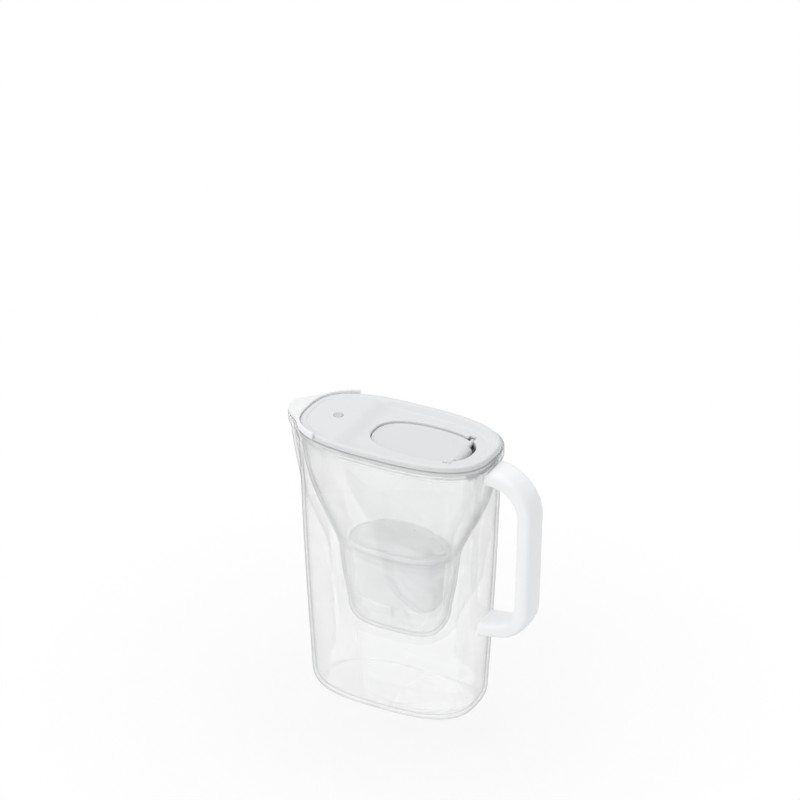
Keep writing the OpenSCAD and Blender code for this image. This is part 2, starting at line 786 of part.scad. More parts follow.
knuckle_half_w = 25.4;
module fill_flap() {
    color("gainsboro")
    union() {
        translate([0, 0, flap_low_z])
            linear_extrude(flap_t)
                difference() {
                    flap_outline(-side_gap);
                    behind(hinge_x);
                }
        translate([hinge_x, knuckle_half_w, hinge_z]) rotate([90, 0, 0])
            cylinder(r = knuckle_r, h = 2 * knuckle_half_w, $fn = round_fn);
        translate([hinge_x, ear_out_y + ear_wall - 0.3, hinge_z]) rotate([90, 0, 0])
            cylinder(r = flap_pin_r, h = 2 * (ear_out_y + ear_wall - 0.3), $fn = round_fn);
        thumb_tab();
    }
}

// ---------- Spout visor ----------

visor_points = 24;
visor_arc = 52;
function front_arc(a, b, arc) = [
    for (i = [0:visor_points])
        let (t = lerp(180 - arc, 180 + arc, i / visor_points), c = cos(t), s = sin(t),
             r = pow(pow(abs(c), plan_n) + pow(abs(s), plan_n), -1 / plan_n))
        [a * r * c, b * r * s]
];
visor_tip_x = rim_a + spout_reach;
function visor_top(x, drop) = visor_z - drop + lerp(visor_h, visor_tip_h, max(0, min(1, (-x - visor_x) / (visor_tip_x - visor_x))));

// Crescent between the lid and the spout edge; trim makes the hollow underneath
module crescent(arc, trim, low_z) {
    inner = front_arc(lid_a + visor_gap + trim, lid_b + visor_gap + trim, arc);
    outer = [for (p = front_arc(rim_a - visor_gap - trim, rim_b - visor_gap - trim, arc)) nose(p, jug_h, visor_gap + trim)];
    n = visor_points + 1;
    points = concat(
        level(outer, low_z),
        [for (p = outer) [p[0], p[1], visor_top(p[0], trim + 0.5)]],
        [for (p = inner) [p[0], p[1], visor_top(p[0], trim)]],
        level(inner, low_z)
    );
    sides = [
        for (k = [0:3], j = [0:n - 2])
            let (m = (k + 1) % 4)
            [k * n + j, m * n + j, m * n + j + 1, k * n + j + 1]
    ];
    start_cap = [for (k = [3:-1:0]) k * n];
    end_cap = [for (k = [0:3]) k * n + n - 1];
    polyhedron(points, concat(sides, [start_cap, end_cap]), convexity = 6);
}

module spout_visor() {
    hollow_arc = 14;
    color("white")
    union() {
        difference() {
            crescent(visor_arc, 0, visor_z);
            crescent(hollow_arc, visor_wall, visor_z - 1);
            // Arm ends cut square just behind the hinge, with the lower corner bevelled so that it clears the rim
            translate([-visor_x + visor_pin_r + 0.2, -rim_b, visor_z - 1]) cube([rim_a, rim_w, visor_h + 2]);
            translate([-visor_x, -rim_b, visor_axis_z]) rotate([0, 45, 0])
                translate([visor_axis_z - visor_z, 0, -rim_b]) cube([rim_b, rim_w, 2 * rim_b]);
        }
        for (side = [-1, 1])
            translate([-visor_x, side * (stub_y - stub_len + 0.2), visor_axis_z]) rotate([-90 * side, 0, 0])
                cylinder(r = visor_pin_r, h = stub_len + visor_gap + 1, $fn = round_fn);
    }
}

// ---------- Filter-change indicator ----------

ind_top_z = front_under - seat_gap;
ind_low_z = ind_top_z - ind_h;
base_t = 2;
gasket_t = 0.8;
board_t = 1;
face_z = ind_top_z - ind_recess;
board_z = face_z - ind_wall - 5.4;
cell_z = board_z - cell_t - 0.6;

module at_indicator(z) {
    translate([-ind_x, 0, z]) children();
}

// Two small round lenses side by side in front of the button
lens_r = 0.8;
lens_x = 2.6;
lens_y = -6.5;
module lens_pair(z, h) {
    for (side = [-1, 1])
        at_indicator(z) translate([lens_x + 2.5 * side * lens_r, lens_y, 0]) cylinder(r = lens_r, h = h, $fn = round_fn);
}

module indicator_case() {
    rim_t = 1.4;
    color("whitesmoke")
    difference() {
        at_indicator(ind_low_z + base_t) linear_extrude(ind_h - base_t) indicator_plan(0);
        at_indicator(ind_low_z) linear_extrude(face_z - ind_wall - ind_low_z) indicator_plan(-ind_wall);
        at_indicator(face_z) linear_extrude(ind_recess + 1) indicator_plan(-rim_t);
        at_indicator(face_z - ind_wall - 1) cylinder(r = button_r + pin_gap, h = ind_wall + 2, $fn = round_fn);
        lens_pair(face_z - ind_wall - 1, ind_wall + 2);
    }
}

module status_lenses() {
    color("black")
    lens_pair(face_z - ind_wall, ind_wall);
}

module indicator_base() {
    bevel = 1;
    collar_h = 3;
    color("whitesmoke")
    union() {
        at_indicator(ind_low_z)
            intersection() {
                linear_extrude(base_t) indicator_plan(0);
                rotate_extrude($fn = round_fn)
                    polygon([[0, 0], [ind_r - bevel, 0], [ind_r, bevel], [ind_r, base_t], [0, base_t]]);
            }
        at_indicator(ind_low_z + base_t) linear_extrude(collar_h)
            difference() {
                indicator_plan(-ind_wall - gasket_t - 0.1);
                indicator_plan(-ind_wall - gasket_t - 1.3);
            }
    }
}

module base_gasket() {
    color("black")
    at_indicator(ind_low_z + base_t)
        linear_extrude(gasket_t + 0.4)
            difference() {
                indicator_plan(-ind_wall);
                indicator_plan(-ind_wall - gasket_t);
            }
}

module circuit_board() {
    color("darkgreen")
    at_indicator(board_z) linear_extrude(board_t) indicator_plan(-ind_wall - 0.1);
}

module coin_cell() {
    color("silver")
    at_indicator(cell_z) cylinder(r = cell_r, h = cell_t, $fn = round_fn);
}

module cell_clip() {
    strap_w = 5;
    strap_t = 0.3;
    color("goldenrod")
    at_indicator(cell_z - strap_t)
        union() {
            translate([-cell_r - 2 * strap_t, -strap_w / 2, 0]) cube([2 * cell_r + 4 * strap_t, strap_w, strap_t]);
            for (side = [-1, 1])
                translate([side * (cell_r + 1.5 * strap_t) - strap_t / 2, -strap_w / 2, 0])
                    cube([strap_t, strap_w, board_z - cell_z + strap_t]);
        }
}

switch_h = 3;
module tact_switch() {
    switch_w = 5;
    color("dimgray")
    at_indicator(board_z + board_t)
        union() {
            translate([-switch_w / 2, -switch_w / 2, 0]) cube([switch_w, switch_w, switch_h * 0.6]);
            cylinder(r = 1.4, h = switch_h - button_travel - 0.3, $fn = round_fn);
        }
}

module indicator_button() {
    low = board_z + board_t + switch_h;
    color("dimgray")
    union() {
        at_indicator(low) cylinder(r = button_r, h = front_z - low, $fn = round_fn);
        at_indicator(low) cylinder(r = button_r + 1.4, h = face_z - ind_wall - low - 0.1, $fn = round_fn);
    }
}

jug_shell();
handle();
hopper_shell();
cartridge_cup();
cartridge_cover();
flange_seal();
top_screen();
bottom_screen();
filter_granules();
lid_shell();
fill_flap();
spout_visor();
indicator_case();
indicator_base();
base_gasket();
circuit_board();
coin_cell();
cell_clip();
tact_switch();
status_lenses();
indicator_button();
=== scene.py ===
"""Dresses the water filter pitcher: smooth shells, a frosted grip, a moulded lid and a pale studio."""

import math

import bmesh
import bpy
import numpy as np
from bpy.props import FloatProperty, FloatVectorProperty, IntProperty, PointerProperty
from mathutils import Matrix, Vector


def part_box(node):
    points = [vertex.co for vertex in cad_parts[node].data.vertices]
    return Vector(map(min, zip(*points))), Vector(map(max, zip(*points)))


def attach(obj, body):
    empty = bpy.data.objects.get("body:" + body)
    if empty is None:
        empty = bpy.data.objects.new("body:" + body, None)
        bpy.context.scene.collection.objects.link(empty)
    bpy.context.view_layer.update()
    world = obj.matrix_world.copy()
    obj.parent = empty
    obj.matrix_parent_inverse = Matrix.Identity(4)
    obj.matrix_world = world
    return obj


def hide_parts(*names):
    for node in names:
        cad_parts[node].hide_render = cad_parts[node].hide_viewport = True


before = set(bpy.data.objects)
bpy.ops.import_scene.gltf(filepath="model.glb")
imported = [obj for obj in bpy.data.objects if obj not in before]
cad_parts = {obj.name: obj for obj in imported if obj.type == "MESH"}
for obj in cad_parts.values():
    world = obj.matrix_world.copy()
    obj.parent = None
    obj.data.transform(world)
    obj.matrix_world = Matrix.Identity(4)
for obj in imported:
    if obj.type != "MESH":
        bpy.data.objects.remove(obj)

bl_info = {
    "name": "Water Filter Pitcher",
    "version": (1, 0, 0),
    "blender": (4, 5, 0),
    "location": "View3D > Sidebar > Pitcher",
    "description": "Builds the shells, the lid, the cartridge and the finishes of a water filter pitcher",
    "category": "Object",
}

JUG_LOW, JUG_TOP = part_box("jug_shell")
HOPPER_LOW, HOPPER_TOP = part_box("hopper_shell")
CUP_LOW, CUP_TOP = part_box("cartridge_cup")
COVER_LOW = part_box("cartridge_cover")[0]
LID_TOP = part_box("lid_shell")[1]
FLAP_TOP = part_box("fill_flap")[1]
CASE_LOW, CASE_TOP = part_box("indicator_case")
BASE_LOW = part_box("indicator_base")[0]
BUTTON_LOW, BUTTON_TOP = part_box("indicator_button")
BED_LOW, BED_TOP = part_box("filter_granules")

# Points closer than this are one point
MERGE_DISTANCE = 2e-6

# Squareness of the outlines seen from above: 2 is an ellipse, more is squarer
PLAN_SQUARENESS = 2.8
WELL_SQUARENESS = 3.0
CARTRIDGE_SQUARENESS = 2.6
FLAP_SQUARENESS = 2.46


def mm(value):
    """Millimetres as metres."""
    return value * 0.001


def lerp(low, high, share):
    return low + (high - low) * share


def clamp(value):
    return max(0.0, min(1.0, value))


def ease(value):
    """A soft step from 0 to 1."""
    value = clamp(value)
    return value * value * (3 - 2 * value)


def bend(start, corner, finish, share):
    """A point on the curve that rounds a corner."""
    return (1 - share) ** 2 * start + 2 * share * (1 - share) * corner + share * share * finish


def circle(radius, count):
    """Points round the origin."""
    turns = [math.tau * j / count for j in range(count)]
    return [(radius * math.cos(turn), radius * math.sin(turn)) for turn in turns]


def foot_curve(share):
    """Inset and rise on a rounded foot edge, as shares, from the floor at 0 to the wall at 1."""
    turn = math.pi / 2 * share
    return 1 - math.sin(turn), 1 - math.cos(turn)


def toned(colour, share, lift=0.0):
    """A colour made darker by a share, or paler by a lift."""
    return [c * share + lift for c in colour]


# ---------- Sizes and colours that a user may change ----------


def length(name, description, default):
    return FloatProperty(
        name=name, description=description, default=default, min=0.0, unit="LENGTH", subtype="DISTANCE"
    )


def number(name, description, default, low, high):
    return FloatProperty(name=name, description=description, default=default, min=low, max=high)


def colour(name, description, default):
    return FloatVectorProperty(
        name=name, description=description, default=default, size=3, min=0.0, max=1.0, subtype="COLOR"
    )


class JugSizes(bpy.types.PropertyGroup):
    height: length("Height", "Height of the jug rim above the floor", JUG_TOP.z)
    rim_length: length("Rim length", "Length of the rim without the spout", 2 * JUG_TOP.x)
    rim_width: length("Rim width", "Width of the rim", 2 * JUG_TOP.y)
    waist_length: length("Waist length", "Length of the wall just above the rounded foot", mm(158))
    waist_width: length("Waist width", "Width of the wall just above the rounded foot", mm(93))
    foot_inset: length("Foot inset", "How far the rounded foot runs in under the wall", mm(12))
    foot_round: length("Foot rounding", "Height of the rounded foot edge", mm(17))
    wall_bow: length("Wall bow", "Outward bow of the long wall at mid height", mm(1.2))
    wall: length("Wall", "Thickness of the clear wall", mm(2.4))
    floor: length("Floor", "Thickness of the jug floor", mm(3.2))
    rim_depth: length("Rim depth", "Depth of the stepped rim", mm(8))
    rim_wall: length("Rim wall", "Thickness of the stepped rim", mm(2.2))
    rim_step: length("Rim step", "How far the rim stands out from the wall", mm(2))
    spout_reach: length("Spout reach", "How far the spout reaches beyond the rim", -JUG_LOW.x - JUG_TOP.x)
    spout_half_width: length("Spout half width", "Half the width of the spout at the rim", mm(25))
    spout_drop: length("Spout drop", "Height over which the spout grows out of the wall", mm(88))
    squareness: number("Squareness", "Squareness of the plan outline", PLAN_SQUARENESS, 2, 6)


class HandleSizes(bpy.types.PropertyGroup):
    grip_width: length("Grip width", "Width of the grip", mm(27))
    grip_thickness: length("Grip thickness", "Thickness of the grip", mm(16))
    finger_gap: length("Finger gap", "Gap between the wall and the grip", mm(29))
    height: length("Height", "Height between the middles of the two arms", mm(149))
    drop: length("Drop", "Drop from the rim to the middle of the upper arm", mm(15))
    upper_bend: length("Upper bend", "Radius of the upper bend", mm(35))
    lower_bend: length("Lower bend", "Radius of the lower bend", mm(26))
    flare: length("Flare", "Extra width where the grip meets the wall", mm(4))
    squareness: number("Squareness", "Squareness of the section", 3.5, 2, 6)


class HopperSizes(bpy.types.PropertyGroup):
    floor_z: length("Floor height", "Height of the underside of the hopper", HOPPER_LOW.z)
    wall: length("Wall", "Thickness of the clear wall", mm(2))
    flange: length("Flange", "Thickness of the flange", mm(2.5))
    well_length: length("Well length", "Length of the well at its neck", mm(106))
    well_width: length("Well width", "Width of the well at its neck", mm(62))
    floor_length: length("Floor length", "Length of the well above its rounded floor", mm(92))
    floor_width: length("Floor width", "Width of the well above its rounded floor", mm(53))
    shelf_z: length("Shelf height", "Height of the shelf that carries the cartridge", mm(146))
    well_round: length("Well rounding", "Height of the rounded floor edge", mm(22))
    drain_radius: length("Drain radius", "Radius of each drain hole", mm(2.2))
    drain_pitch: length("Drain pitch", "Distance between drain holes", mm(10))


class CartridgeSizes(bpy.types.PropertyGroup):
    length_all: length("Length", "Length of the flange", 2 * CUP_TOP.x)
    width_all: length("Width", "Width of the flange", 2 * CUP_TOP.y)
    wall: length("Wall", "Thickness of the cup wall", mm(1.4))
    lip: length("Lip", "Width of the flange outside the cup", mm(5.5))
    dome: length("Dome", "Height of the dome above the flange", mm(15))
    dome_end: length("Dome end", "Distance from the end of the flange to the dome", mm(9.5))
    granule: length("Granule", "Size of one granule", mm(1.1))
    granules: IntProperty(
        name="Granules", description="How many granules lie on the bed", default=1500, min=100, max=4000
    )


class LidSizes(bpy.types.PropertyGroup):
    low_z: length("Skirt height", "Height of the lower edge of the skirt", mm(253.1))
    top_z: length("Top height", "Height of the crest", LID_TOP.z)
    half_length: length("Half length", "Half the length of the lid", LID_TOP.x)
    half_width: length("Half width", "Half the width of the lid", LID_TOP.y)
    wall: length("Wall", "Thickness of the lid", mm(2.2))
    dish: length("Dish", "Depth of the dished plate", mm(4.8))
    front: length("Front depth", "Depth of the plate at the spout end", mm(0.6))
    flap_length: length("Flap length", "Length of the flap recess", mm(95))
    flap_width: length("Flap width", "Width of the flap recess", mm(56))
    flap_x: length("Flap place", "Distance from the jug centre to the flap recess", mm(22.5))
    flap_thickness: length("Flap thickness", "Thickness of the flap", mm(2))
    flap_sink: length("Flap sink", "Depth of the flap below the plate", mm(1.9))
    pocket: length("Pocket", "Depth of the finger pocket", mm(13.5))
    tab_radius: length("Tab radius", "Bend radius of the thumb tab", mm(7))
    tab_turn: number("Tab turn", "Angle in degrees through which the tab bends down", 75, 30, 80)


class Finishes(bpy.types.PropertyGroup):
    clear_face: colour("Clear face", "Tint of the clear plastic seen square on", (0.985, 0.986, 0.986))
    # Grey tint at the outline: partly the plastic's tint through a glancing path, partly painted edge shade
    clear_edge_shade: colour("Clear edge", "Tint of the clear plastic at its outline", (0.38, 0.385, 0.388))
    frosted: colour("Frosted", "Colour of the frosted handle", (0.94, 0.942, 0.944))
    lid: colour("Lid", "Colour of the lid", (0.73, 0.733, 0.736))
    visor: colour("Visor", "Colour of the spout cover", (0.82, 0.822, 0.824))
    cartridge: colour("Cartridge", "Colour of the cartridge", (0.965, 0.967, 0.969))
    case: colour("Case", "Colour of the indicator case", (0.92, 0.922, 0.924))
    button: colour("Button", "Colour of the push button", (0.56, 0.565, 0.57))


# ---------- Node trees ----------


def math_method(operation, swapped=False):
    """A method that adds a Math node, for an operator whose number may stand on the right."""

    def method(self, *others):
        return self.maker.math(operation, *((*others, self) if swapped else (self, *others)))

    return method


class Field:
    """A number in a node tree, so that Math nodes are written as Python expressions."""

    def __init__(self, maker, socket):
        self.maker = maker
        self.socket = socket

    __add__ = __radd__ = math_method("ADD")
    __sub__ = math_method("SUBTRACT")
    __rsub__ = math_method("SUBTRACT", swapped=True)
    __mul__ = __rmul__ = math_method("MULTIPLY")
    __truediv__ = math_method("DIVIDE")
    __rtruediv__ = math_method("DIVIDE", swapped=True)
    __pow__ = math_method("POWER")
    __mod__ = math_method("MODULO")
    __abs__ = math_method("ABSOLUTE")
    __lt__ = math_method("LESS_THAN")
    __gt__ = math_method("GREATER_THAN")

    def clamped(self):
        return self.maker.math("MINIMUM", self.maker.math("MAXIMUM", self, 0.0), 1.0)


class Maker:
    """Adds nodes to one tree: the settings of a node first, then the values and links of its sockets."""

    def __init__(self, tree):
        self.tree = tree

    def node(self, kind, settings=None, values=()):
        made = self.tree.nodes.new(kind)
        for name, value in (settings or {}).items():
            setattr(made, name, value)
        for key, value in values.items() if isinstance(values, dict) else enumerate(values):
            self.feed(made.inputs[key], value)
        return made

    def out(self, kind, values=(), settings=None):
        """The first output of a new node."""
        return self.node(kind, settings, values).outputs[0]

    def feed(self, socket, value):
        if isinstance(value, Field):
            value = value.socket
        if isinstance(value, bpy.types.NodeSocket):
            self.tree.links.new(value, socket)
        elif value is not None:
            socket.default_value = value

    def math(self, operation, *values):
        return Field(self, self.out("ShaderNodeMath", values, {"operation": operation}))

    def vector(self, operation, *values):
        return self.out("ShaderNodeVectorMath", values, {"operation": operation})

    def scaled(self, vector, share):
        made = self.node("ShaderNodeVectorMath", {"operation": "SCALE"}, {0: vector, "Scale": share})
        return made.outputs[0]


# ---------- Geometry Nodes ----------


def new_geometry_tree(name, counts, sizes):
    """A Geometry Nodes tree with its maker, its inputs by name and a function that ends it.

    The counts are whole numbers, the sizes are lengths.
    """
    tree = bpy.data.node_groups.new(name, "GeometryNodeTree")
    tree.is_modifier = True
    tree.interface.new_socket("Geometry", in_out="INPUT", socket_type="NodeSocketGeometry")
    for label in counts:
        tree.interface.new_socket(label, in_out="INPUT", socket_type="NodeSocketInt")
    for label in sizes:
        socket = tree.interface.new_socket(label, in_out="INPUT", socket_type="NodeSocketFloat")
        socket.subtype = "DISTANCE"
    tree.interface.new_socket("Material", in_out="INPUT", socket_type="NodeSocketMaterial")
    tree.interface.new_socket("Geometry", in_out="OUTPUT", socket_type="NodeSocketGeometry")
    maker = Maker(tree)
    given = {socket.name: Field(maker, socket) for socket in maker.node("NodeGroupInput").outputs}

    def end(geometry):
        real = maker.out("GeometryNodeRealizeInstances", {"Geometry": geometry})
        dressed = maker.out("GeometryNodeSetMaterial", {"Geometry": real, "Material": given["Material"]})
        maker.node("NodeGroupOutput", None, {0: dressed})
        return tree

    return maker, given, end


def oval_loft_tree():
    """Lofts rounded-square rings through stations, pushes the spout out and raises the front."""
    spout = ("Spout Reach", "Spout Half Width", "Spout Foot Height", "Spout Drop")
    maker, given, end = new_geometry_tree("Oval Loft", ("Points Around",), (*spout, "Rise Start", "Rise Run"))
    size = maker.node("GeometryNodeAttributeDomainSize", {"component": "MESH"}, {0: given["Geometry"]})
    stations = Field(maker, size.outputs["Point Count"])
    around = given["Points Around"]
    sides = {"Size X": 1.0, "Size Y": 1.0, "Vertices X": around + 1, "Vertices Y": stations}
    grid = maker.out("GeometryNodeMeshGrid", sides)
    index = Field(maker, maker.out("GeometryNodeInputIndex"))
    station = index % stations
    turn = (index - station) / stations * math.tau / around

    def at_station(name, kind):
        """The value that the station of this point holds."""
        named = maker.node("GeometryNodeInputNamedAttribute", {"data_type": kind}, {"Name": name})
        sample = maker.node(
            "GeometryNodeSampleIndex",
            {"data_type": kind, "domain": "POINT"},
            {"Geometry": given["Geometry"], "Value": named.outputs[0], "Index": station},
        )
        return sample.outputs[0]

    power = Field(maker, at_station("squareness", "FLOAT"))
    trim = Field(maker, at_station("trim", "FLOAT"))
    lift = Field(maker, at_station("lift", "FLOAT"))
    cosine = maker.math("COSINE", turn)
    sine = maker.math("SINE", turn)
    radius = (abs(cosine) ** power + abs(sine) ** power) ** (-1 / power)
    across = maker.scaled(at_station("across", "FLOAT_VECTOR"), radius * cosine)
    along = maker.scaled(at_station("along", "FLOAT_VECTOR"), radius * sine)
    ring = maker.vector("ADD", maker.vector("ADD", at_station("middle", "FLOAT_VECTOR"), across), along)
    place = maker.node("ShaderNodeSeparateXYZ", None, [ring]).outputs
    x, y, z = (Field(maker, s) for s in place)

    grown = ((z - given["Spout Foot Height"]) / given["Spout Drop"]).clamped()
    half = (given["Spout Half Width"] - trim) * (0.6 + 0.4 * grown)
    off_middle = (abs(y) / half).clamped()
    bulge = (1 - off_middle * off_middle) ** 1.5
    push = given["Spout Reach"] * maker.math("SINE", grown * (math.pi / 2)) * bulge * (x < 0.0)
    raised = ((0 - x - given["Rise Start"]) / given["Rise Run"]).clamped()
    step = raised * raised * (3 - 2 * raised)
    shaped = maker.out("ShaderNodeCombineXYZ", [x - push, y, z + lift * step])

    moved = maker.out("GeometryNodeSetPosition", {"Geometry": grid, "Position": shaped})
    joined = maker.out("GeometryNodeMergeByDistance", {"Geometry": moved, "Distance": MERGE_DISTANCE})
    return end(maker.out("GeometryNodeSetShadeSmooth", {0: joined}))


def applied(obj, modifier):
    """Keeps what a modifier makes as the plain mesh of its object."""
    bpy.context.view_layer.update()
    evaluated = obj.evaluated_get(bpy.context.evaluated_depsgraph_get())
    mesh = bpy.data.meshes.new_from_object(evaluated)
    obj.modifiers.remove(modifier)
    obj.data = mesh
    return obj


def run_tree(obj, tree, values, material):
    """Runs a tree on an object with values for its named inputs, and keeps the result as a plain mesh."""
    modifier = obj.modifiers.new(tree.name, "NODES")
    modifier.node_group = tree
    sockets = {s.name: s.identifier for s in tree.interface.items_tree if s.in_out == "INPUT"}
    for name, value in values.items():
        modifier[sockets[name]] = value
    modifier[sockets["Material"]] = material
    return applied(obj, modifier)


def new_object(name, data):
    obj = bpy.data.objects.new(name, data)
    bpy.context.scene.collection.objects.link(obj)
    return obj


# ---------- Profiles ----------

X, HALF_X, HALF_Y, Z, SQUARE, TRIM, LIFT = range(7)


def station(half_x, half_y, z, square=PLAN_SQUARENESS, trim=0.0, x=0.0, lift=0.0):
    """One ring of a loft: its middle, half sizes, height, squareness, spout trim and front lift."""
    return np.array([x, half_x, half_y, z, square, trim, lift])


def filleted(points, closed=False, steps=6):
    """Stations with their corners rounded. Each point is a station and the length that its corner takes."""
    rows = [row for row, _ in points]
    count = len(rows)
    out = []
    for k, (row, radius) in enumerate(points):
        inner = closed or 0 < k < count - 1
        if not radius or not inner:
            out.append(row)
            continue
        back, ahead = rows[k - 1] - row, rows[(k + 1) % count] - row
        run_back, run_ahead = (math.hypot(v[HALF_X] + v[X], v[Z]) + 1e-9 for v in (back, ahead))
        cut = min(radius, 0.48 * run_back, 0.48 * run_ahead)
        start, finish = row + back * cut / run_back, row + ahead * cut / run_ahead
        out += [bend(start, row, finish, i / steps) for i in range(steps + 1)]
    return out + [out[0]] if closed else out


def between(first, last, steps):
    """The stations between two others, without the two."""
    return [lerp(first, last, i / steps) for i in range(1, steps)]


def loft(name, middles, across, along, square, material, around=192, trim=None, lift=None, **inputs):
    """A lofted piece from its stations, made by the Oval Loft tree."""
    count = len(middles)
    mesh = bpy.data.meshes.new(name)
    mesh.from_pydata([(k, 0, 0) for k in range(count)], [], [])
    for key, kind, values in (
        ("middle", "FLOAT_VECTOR", middles),
        ("across", "FLOAT_VECTOR", across),
        ("along", "FLOAT_VECTOR", along),
        ("squareness", "FLOAT", square),
        ("trim", "FLOAT", np.zeros(count) if trim is None else trim),
        ("lift", "FLOAT", np.zeros(count) if lift is None else lift),
    ):
        attribute = mesh.attributes.new(key, kind, "POINT")
        field = "vector" if kind == "FLOAT_VECTOR" else "value"
        attribute.data.foreach_set(field, np.asarray(values, np.float32).ravel())
    given = {"Points Around": around, "Spout Half Width": 1.0, "Spout Drop": 1.0, "Rise Run": 1.0}
    given.update({key.replace("_", " ").title(): value for key, value in inputs.items()})
    tree = bpy.data.node_groups.get("Oval Loft") or oval_loft_tree()
    return run_tree(new_object(name, mesh), tree, given, material)


def oval_piece(name, rows, material, around=192, **inputs):
    """A piece whose rings all lie level."""
    rows = np.array(rows)
    zero = np.zeros(len(rows))
    return loft(
        name,
        np.stack([rows[:, X], zero, rows[:, Z]], 1),
        np.stack([rows[:, HALF_X], zero, zero], 1),
        np.stack([zero, rows[:, HALF_Y], zero], 1),
        rows[:, SQUARE],
        material,
        around,
        rows[:, TRIM],
        rows[:, LIFT],
        **inputs,
    )


# ---------- Mesh tools ----------


def skin(name, rings, material, closed=False):
    """A mesh through rings with equal point counts. Open ends are closed with flat faces."""
    rings = np.asarray(rings, float)
    levels, count, _ = rings.shape
    faces = []
    spans = levels if closed else levels - 1
    for k in range(spans):
        low, high = k * count, (k + 1) % levels * count
        for j in range(count):
            n = (j + 1) % count
            faces.append((low + j, low + n, high + n, high + j))
    if not closed:
        faces.append(tuple(range(count - 1, -1, -1)))
        faces.append(tuple((levels - 1) * count + j for j in range(count)))
    mesh = bpy.data.meshes.new(name)
    mesh.from_pydata(rings.reshape(-1, 3).tolist(), [], faces)
    mesh.materials.append(material)
    return mend(new_object(name, mesh))


def mend(obj):
    """Merges doubles and points all faces outwards."""
    work = bmesh.new()
    work.from_mesh(obj.data)
    bmesh.ops.remove_doubles(work, verts=work.verts, dist=MERGE_DISTANCE)
    bmesh.ops.recalc_face_normals(work, faces=work.faces)
    work.to_mesh(obj.data)
    work.free()
    return obj


def block(name, low, high, material, bevel=0.0):
    """A block with bevelled edges, used as a cutter or as a rib."""
    work = bmesh.new()
    bmesh.ops.create_cube(work, size=1.0)
    low, high = Vector(low), Vector(high)
    for v in work.verts:
        v.co = Vector(lerp(low[i], high[i], v.co[i] + 0.5) for i in range(3))
    if bevel:
        bmesh.ops.bevel(work, geom=work.edges[:], offset=bevel, segments=3, profile=0.5, affect="EDGES")
    mesh = bpy.data.meshes.new(name)
    work.to_mesh(mesh)
    work.free()
    mesh.materials.append(material)
    return new_object(name, mesh)


def turned(name, profile, middle, axis, material, count=64):
    """A solid turned from (radius, height) points round an axis through a point."""
    turn = Vector((0, 0, 1)).rotation_difference(Vector(axis)).to_matrix()
    rings = [[Vector(middle) + turn @ Vector((x, y, h)) for x, y in circle(r, count)] for r, h in profile]
    return skin(name, rings, material)


def rod(name, radius, start, end, material, chamfer=0.0, count=64):
    """A round rod from one point to another."""
    run = (Vector(end) - Vector(start)).length
    profile = [(radius - chamfer, 0), (radius, chamfer), (radius, run - chamfer), (radius - chamfer, run)]
    if not chamfer:
        profile = [(radius, 0), (radius, run)]
    return turned(name, profile, start, Vector(end) - Vector(start), material, count)


def combine(obj, operation, *others):
    """Cuts other pieces out of a piece, adds them or keeps what they share, and removes the others."""
    for other in others:
        modifier = obj.modifiers.new("Cut", "BOOLEAN")
        modifier.operation = operation
        modifier.solver = "EXACT"
        modifier.object = other
        applied(obj, modifier)
    for other in set(others):
        bpy.data.objects.remove(other)
    return obj


def copy_of(obj):
    twin = obj.copy()
    twin.data = obj.data.copy()
    bpy.context.scene.collection.objects.link(twin)
    return twin


def joined(name, objs, material):
    """Several solids as one mesh with one material."""
    work = bmesh.new()
    for obj in objs:
        work.from_mesh(obj.data)
    mesh = bpy.data.meshes.new(name)
    work.to_mesh(mesh)
    work.free()
    for obj in objs:
        bpy.data.objects.remove(obj)
    mesh.materials.clear()
    mesh.materials.append(material)
    for face in mesh.polygons:
        face.material_index = 0
    return new_object(name, mesh)


def finished(obj, name, body, nodes, angle=32):
    """Smooths a piece up to an edge angle, names it and puts it on its body in place of its CAD nodes."""
    obj.name = name
    mesh = obj.data
    mesh.name = name
    for stale in ("middle", "across", "along", "squareness", "trim", "lift"):
        if stale in mesh.attributes:
            mesh.attributes.remove(mesh.attributes[stale])
    mesh.shade_smooth()
    mesh.set_sharp_from_angle(angle=math.radians(angle))
    weighted = obj.modifiers.new("Even normals", "WEIGHTED_NORMAL")
    weighted.keep_sharp = True
    applied(obj, weighted)
    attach(obj, body)
    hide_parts(*nodes)
    return obj


# ---------- Materials ----------


